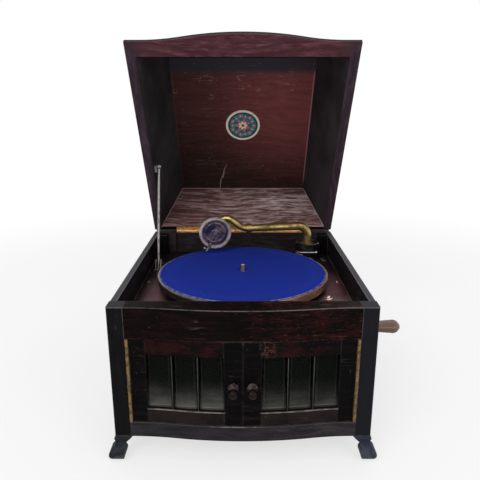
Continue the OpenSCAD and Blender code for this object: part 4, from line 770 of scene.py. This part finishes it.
# Name and nodes, then metal and tarnish, roughness, where the tarnish starts and is full, its scale
METALS = {}
for name, nodes, colour, tarnish, roughness, cover, scale, extra in (
        ("worn_brass", "crank_escutcheon speed_dial motor_bolts governor spring_barrel",
         (0.62, 0.46, 0.19), (0.20, 0.13, 0.05), 0.28, (0.44, 0.70), 55.0, {}),
        ("hinge_brass", "lid_hinge_lower_leaf lid_hinge_upper_leaf",
         (0.74, 0.46, 0.20), (0.26, 0.14, 0.06), 0.36, (0.48, 0.64), 90.0, dict(metallic=0.45)),
        ("door_hinge_brass", "door_hinge_post_leaves left_door_hinge_leaf right_door_hinge_leaf",
         (0.24, 0.145, 0.058), (0.085, 0.050, 0.024), 0.36, (0.42, 0.60), 90.0,
         dict(metallic=0.7)),
        ("tube_brass", "tonearm gooseneck",
         (0.44, 0.325, 0.115), (0.12, 0.080, 0.026), 0.27, (0.40, 0.66), 34.0, {}),
        ("spindle_copper", "spindle",
         (0.60, 0.36, 0.20), (0.26, 0.15, 0.09), 0.34, (0.45, 0.70), 90.0, {}),
        ("worn_nickel", "needle_cup brake_plate brake_lever speed_knob",
         (0.50, 0.48, 0.46), (0.20, 0.17, 0.14), 0.26, (0.46, 0.70), 75.0, {}),
        ("stay_nickel", "stay_rod stay_lid_bracket",
         (0.25, 0.235, 0.235), (0.12, 0.095, 0.09), 0.34, (0.46, 0.70), 75.0, {}),
        ("guide_nickel", "stay_guide",
         (0.20, 0.175, 0.155), (0.085, 0.065, 0.055), 0.40, (0.42, 0.66), 75.0,
         dict(metallic=0.8)),
        ("bar_nickel", "stylus_bar",
         (0.27, 0.24, 0.25), (0.12, 0.09, 0.09), 0.34, (0.45, 0.66), 90.0, {}),
        ("sound_box_nickel", "sound_box",
         (0.60, 0.53, 0.53), (0.30, 0.23, 0.22), 0.36, (0.44, 0.68), 80.0, dict(metallic=0.6)),
        ("oiled_steel", "winding_arbor crank_shaft",
         (0.50, 0.50, 0.50), (0.20, 0.18, 0.16), 0.30, (0.50, 0.75), 60.0, {}),
        ("crank_steel", "crank_arm",
         (0.30, 0.29, 0.28), (0.11, 0.09, 0.08), 0.36, (0.45, 0.68), 60.0, {}),
        ("motor_iron", "motor_top_plate motor_bottom_plate",
         (0.30, 0.31, 0.32), (0.14, 0.13, 0.12), 0.45, (0.45, 0.70), 45.0, dict(metallic=0.7)),
        ("turntable_steel", "platter",
         (0.46, 0.45, 0.44), (0.22, 0.13, 0.095), 0.34, (0.40, 0.64), 26.0,
         dict(pits=0.7, metallic=0.85, shade=platter_rust_and_shadow)),
        ("blackened_steel", "",
         (0.052, 0.050, 0.050), (0.028, 0.024, 0.022), 0.40, (0.45, 0.68), 60.0,
         dict(metallic=0.7)),
        ("lead_bead", "",
         (0.040, 0.043, 0.038), (0.018, 0.019, 0.017), 0.5, (0.42, 0.66), 60.0,
         dict(metallic=0.3)),
        ("pink_plating", "",
         (0.62, 0.44, 0.40), (0.30, 0.17, 0.13), 0.28, (0.46, 0.70), 140.0, {})):
    METALS[name] = metal(name, colour, tarnish, roughness, cover, scale, **extra)
    for node in nodes.split():
        dress(node, METALS[name])

black = enamel("black_enamel", (0.0055, 0.0055, 0.0065))
for node in ("tonearm_base", "horn_throat"):
    dress(node, black)
dress("diaphragm", mica_finish())
dress("lid_badge", rosette_finish())


# -------------------------------- new pieces

# Ways that a screw's head can face
RIGHT, BACK, UP = (1, 0, 0), (0, 1, 0), (0, 0, 1)


def put_in_scene(name, data):
    thing = bpy.data.objects.new(name, data)
    bpy.context.scene.collection.objects.link(thing)
    return thing


def piece(name, form, material, body, smooth=True):
    """Makes a piece from a finished form and lets it ride on a body."""
    mesh = bpy.data.meshes.new(name)
    bmesh.ops.recalc_face_normals(form, faces=form.faces)
    form.to_mesh(mesh)
    form.free()
    thing = put_in_scene(name, mesh)
    mesh.materials.append(material)
    for face in mesh.polygons:
        face.use_smooth = smooth
    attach(thing, body)
    return thing


def add_form(whole, form):
    """Adds a finished form to a larger one."""
    mesh = bpy.data.meshes.new("form")
    form.to_mesh(mesh)
    form.free()
    whole.from_mesh(mesh)
    bpy.data.meshes.remove(mesh)


def move_points(form, points, way):
    bmesh.ops.translate(form, verts=points, vec=way)


def turn_points(form, points, matrix):
    bmesh.ops.rotate(form, verts=points, matrix=matrix)


def rod(form, radius, depth, segments, tip=None):
    """Closed round bar about Z, narrower at its top where a tip's radius is given; its points."""
    return bmesh.ops.create_cone(form, segments=segments, radius1=radius, radius2=tip or radius,
                                 depth=depth, cap_ends=True)["verts"]


def round_edges(form, edges, size):
    bmesh.ops.bevel(form, geom=edges, offset=size, segments=2, profile=0.5, affect="EDGES",
                    material=-1)


def turned(profile, steps):
    """Closed lathe form about Z from (radius, height) points."""
    form = bmesh.new()
    points = [form.verts.new((r, 0, z)) for r, z in profile]
    edges = [form.edges.new(pair) for pair in zip(points, points[1:])]
    bmesh.ops.spin(form, geom=points + edges, axis=(0, 0, 1), cent=(0, 0, 0), angle=math.tau,
                   steps=steps, use_merge=True)
    bmesh.ops.remove_doubles(form, verts=form.verts, dist=0.000002)
    return form


def felt_mat():
    """Felt disc with a soft edge, a little uneven, lying on the turntable."""
    low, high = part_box("felt_mat")
    radius, top, base = (high.x - low.x) / 2, high.z, low.z
    centre = (low + high) / 2
    hole = 4.4 * MM
    thick = top - base
    profile = [(hole, 0.1 * MM), (hole, thick * 0.8), (hole + 0.6 * MM, thick)]
    profile += [(hole + (radius - hole) * share, thick)
                for share in (0.1, 0.25, 0.4, 0.55, 0.7, 0.8, 0.88, 0.94)]
    profile += [(radius - 1.6 * MM, thick), (radius - 0.5 * MM, thick * 0.85),
                (radius, thick * 0.5), (radius - 0.4 * MM, 0.1 * MM)]
    form = turned(profile, 180)
    rim = [e for e in form.edges if e.is_boundary]
    bmesh.ops.bridge_loops(form, edges=rim)
    for v in form.verts:
        wave = noise.noise(Vector((v.co.x * 38, v.co.y * 38, 0.3)))
        reach = math.hypot(v.co.x, v.co.y)
        if v.co.z > thick * 0.4:
            v.co.z += wave * 0.16 * MM - 0.16 * MM
        if reach > radius * 0.96:
            pull = 1 - (0.0010 + 0.0012 * noise.noise(Vector((v.co.x * 60, v.co.y * 60, 4))))
            v.co.x *= pull
            v.co.y *= pull
    move_points(form, form.verts, (centre.x, centre.y, base))
    mat = piece("felt_mat_cloth", form, felt_finish(), "turntable")
    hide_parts("felt_mat")


def front_y(x, depth=0.0):
    """The serpentine front's face, or a curve behind it, in millimetres."""
    if abs(x) <= CURVE_CHANGE:
        return CONVEX_R - BOW - math.sqrt((CONVEX_R - depth) ** 2 - x * x)
    return math.sqrt((CONCAVE_R + depth) ** 2 - (abs(x) - POST_EDGE) ** 2) - CONCAVE_R


def bend_to_front(form):
    """Moves a flat form's points, given in millimetres as (x, depth, z), onto the front's curve."""
    for v in form.verts:
        x, depth, z = v.co
        v.co = at(x, front_y(x, depth), z)


def reach_rebate(value, moves):
    """A pane's visible edge moved out under the frame, other places kept."""
    for edge, hidden in moves.items():
        if abs(value - edge) < 0.02:
            return hidden
    return value


def door_panes(side, body, finish):
    """Three curved panes of plate glass with ground edges all round."""
    back, plate, raised, hidden = 11.4, 1.7, 1.1, 2.5
    gap = 0.1
    inmost, outmost = PANE_SIDES[0][0], PANE_SIDES[-1][-1]
    moves_x = {side * (inmost + gap): side * (inmost - hidden),
               side * (outmost - gap): side * (outmost + hidden)}
    moves_z = {PANE_LOW + gap: PANE_LOW - hidden, PANE_HIGH - gap: PANE_HIGH + hidden}
    panes = bmesh.new()
    for near, far in PANE_SIDES:
        form = bmesh.new()
        points = bmesh.ops.create_grid(form, x_segments=10, y_segments=4, size=0.5)["verts"]
        bmesh.ops.scale(form, verts=points, vec=(far - near - 2 * gap,
                                                 PANE_HIGH - PANE_LOW - 2 * gap, 1))
        turn_points(form, points, Matrix.Rotation(math.pi / 2, 3, "X"))
        move_points(form, points, (side * (near + far) / 2, back, (PANE_LOW + PANE_HIGH) / 2))
        front = bmesh.ops.extrude_face_region(form, geom=form.faces[:])["geom"]
        faces = [f for f in front if isinstance(f, bmesh.types.BMFace)]
        move_points(form, [p for p in front if isinstance(p, bmesh.types.BMVert)], (0, -plate, 0))
        bmesh.ops.inset_region(form, faces=faces, thickness=GROUND, depth=0.0,
                               use_even_offset=True)
        move_points(form, list({v for f in faces for v in f.verts}), (0, -raised, 0))
        for v in form.verts:
            v.co.x = reach_rebate(v.co.x, moves_x)
            v.co.z = reach_rebate(v.co.z, moves_z)
        bend_to_front(form)
        add_form(panes, form)
    word = "left" if side < 0 else "right"
    glass = piece(word + "_door_panes", panes, finish, body, smooth=False)
    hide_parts(word + "_door_glass")


def glazing_beads(side, body, finish):
    """Round-nosed lead beads on the glazing bars."""
    beads = bmesh.new()
    for middle in BAR_MIDDLES:
        form = bmesh.new()
        points = rod(form, 0.75, PANE_HIGH - PANE_LOW - 0.4, 10)
        move_points(form, points, (side * middle, BEAD_DEPTH, (PANE_HIGH + PANE_LOW) / 2))
        bend_to_front(form)
        add_form(beads, form)
    word = "left" if side < 0 else "right"
    piece(word + "_glazing_beads", beads, finish, body)


def corner_bosses(finish):
    """Hinge bosses at the case's rear corners, on small plates screwed to its back."""
    form = bmesh.new()
    for side in (-1, 1):
        points = rod(form, 3.1 * MM, 43.6 * MM, 32)
        turn_points(form, points, Matrix.Rotation(math.pi / 2, 3, "Y"))
        move_points(form, points, at(side * 167.4, HINGE_Y, HINGE_Z))
        points = bmesh.ops.create_cube(form, size=1)["verts"]
        bmesh.ops.scale(form, verts=points, vec=(36 * MM, 1.6 * MM, 19 * MM))
        move_points(form, points, at(side * 168.0, 421.0, 235.5))
        round_edges(form, list({e for v in points for e in v.link_edges}), 0.5 * MM)
    round_edges(form, [e for e in form.edges if e.is_manifold and e.calc_face_angle() > 1.2
                       and e.calc_length() < 0.7 * MM], 0.3 * MM)
    piece("rear_corner_bosses", form, finish, "cabinet", smooth=False)


def screw_heads(name, places, radius, finish):
    """Slotted round heads: two halves on a thin washer with the slot between them."""
    heads = bmesh.new()
    for spot, facing, turn in places:
        form = bmesh.new()
        for way in (-1, 1):
            half = bmesh.new()
            rod(half, radius, radius * 0.42, 24, radius * 0.80)
            cut = bmesh.ops.bisect_plane(half, geom=half.verts[:] + half.edges[:] + half.faces[:],
                                         plane_co=(way * radius * 0.13, 0, 0),
                                         plane_no=(-way, 0, 0), clear_outer=True)
            bmesh.ops.holes_fill(half, edges=[e for e in cut["geom_cut"]
                                              if isinstance(e, bmesh.types.BMEdge)], sides=0)
            add_form(form, half)
        move_points(form, rod(form, radius * 0.96, radius * 0.16, 24), (0, 0, -radius * 0.20))
        move_points(form, form.verts, (0, 0, radius * 0.21))
        turn_points(form, form.verts, Matrix.Rotation(turn, 3, "Z"))
        turn_points(form, form.verts, Vector(facing).to_track_quat("Z", "Y").to_matrix())
        move_points(form, form.verts, spot)
        add_form(heads, form)
    piece(name, heads, finish, "cabinet", smooth=False)


def domed_bolt(spot, finish):
    """Plated motor bolt on a dished washer, beside the turntable."""
    form = turned([(r * MM, z * MM) for r, z in (
        (0, 5.2), (1.6, 5.0), (3.2, 4.2), (4.3, 2.8), (4.6, 1.9), (5.6, 1.9), (7.4, 1.3),
        (8.2, 0.5), (8.2, 0.05), (0, 0.05))], 40)
    move_points(form, form.verts, spot)
    piece("motor_board_bolt", form, finish, "cabinet")


felt_mat()
glass = glass_finish()
for side, body in ((-1, "left_door"), (1, "right_door")):
    door_panes(side, body, glass)
    glazing_beads(side, body, METALS["lead_bead"])
corner_bosses(METALS["blackened_steel"])
screw_heads("escutcheon_screws", [
    (at(ESCUTCHEON_FACE, CRANK_Y + 15 * math.cos(a), CRANK_Z + 15 * math.sin(a)), RIGHT,
     a * 2.3 + 0.4) for a in (math.pi / 2, math.pi * 7 / 6, math.pi * 11 / 6)],
    2.2 * MM, METALS["worn_brass"])
screw_heads("motor_board_screws", [
    (at(x, y, BOARD_TOP), UP, x * 0.7 + y) for x in (-172, 172) for y in (30, 215, 396)],
    3.2 * MM, METALS["oiled_steel"])
domed_bolt(at(144, 136, BOARD_TOP), METALS["pink_plating"])
screw_heads("boss_plate_screws", [
    (at(side * x, 421.8, 234.5), BACK, x + side) for side in (-1, 1) for x in (156, 180)],
    2.0 * MM, METALS["blackened_steel"])
screw_heads("stay_guide_screws", [
    (at(-167, y, 207.2), UP, y) for y in (281.4, 321.6)], 1.6 * MM, METALS["worn_nickel"])


# -------------------------------- floor, light and camera

def studio():
    """White floor and sky, three soft lamps and the camera."""
    floor_mesh = bpy.data.meshes.new("studio_floor")
    form = bmesh.new()
    bmesh.ops.create_grid(form, x_segments=1, y_segments=1, size=40)
    form.to_mesh(floor_mesh)
    form.free()
    floor = put_in_scene("studio_floor", floor_mesh)

    pale = Finish("pale_floor", Base_Color=(0.90, 0.90, 0.90), Roughness=0.9,
                  Specular_IOR_Level=0.0)
    x, y, _ = pale.parts(pale.place())
    far = pale.step((x * x + y * y) ** 0.5, 0.75, 1.9)
    glow = pale.node("Emission", {"Color": (1.0, 1.0, 1.0), "Strength": 1.02})
    mixed = pale.node("MixShader", {0: pale.shown() * (far * 0.34 + 0.66),
                                    1: Value(pale, pale.shader.outputs[0]), 2: glow})
    pale.feed(pale.tree.nodes["Material Output"].inputs["Surface"], mixed)
    floor_mesh.materials.append(pale.material)

    world = bpy.data.worlds.new("studio")
    bpy.context.scene.world = world
    world.use_nodes = True
    sky = Nodes(world.node_tree)
    background = sky.tree.nodes["Background"]
    sky.feed(background.inputs["Color"], (1, 1, 1))
    sky.feed(background.inputs["Strength"],
             sky.node("Math", [sky.shown(), 0.5, 0.5], operation="MULTIPLY_ADD"))

    for name, place, aim, size, power in (
            ("key", (-1.5, -2.3, 2.4), (0, 0, 0.25), 1.8, 36),
            ("fill", (1.9, -2.1, 1.5), (0, 0, 0.25), 1.6, 16),
            ("top", (0.2, 0.2, 3.2), (0, 0, 0.2), 2.4, 22)):
        lamp = bpy.data.lights.new(name, "AREA")
        lamp.size, lamp.energy = size, power
        holder = put_in_scene(name, lamp)
        holder.location = place
        toward = Vector(aim) - Vector(place)
        holder.rotation_euler = toward.to_track_quat("-Z", "Y").to_euler()

    # Where the photograph was taken from, by its perspective
    lens = bpy.data.cameras.new("camera")
    lens.lens, lens.sensor_width, lens.shift_x = 37.9, 36.0, -0.006
    camera = put_in_scene("camera", lens)
    camera.location = at(0, -654, 530)
    camera.rotation_euler = (math.radians(90 - 15.7), 0, 0)
    bpy.context.scene.camera = camera
    bpy.context.scene.view_settings.view_transform = "Standard"


studio()

bpy.context.view_layer.update()
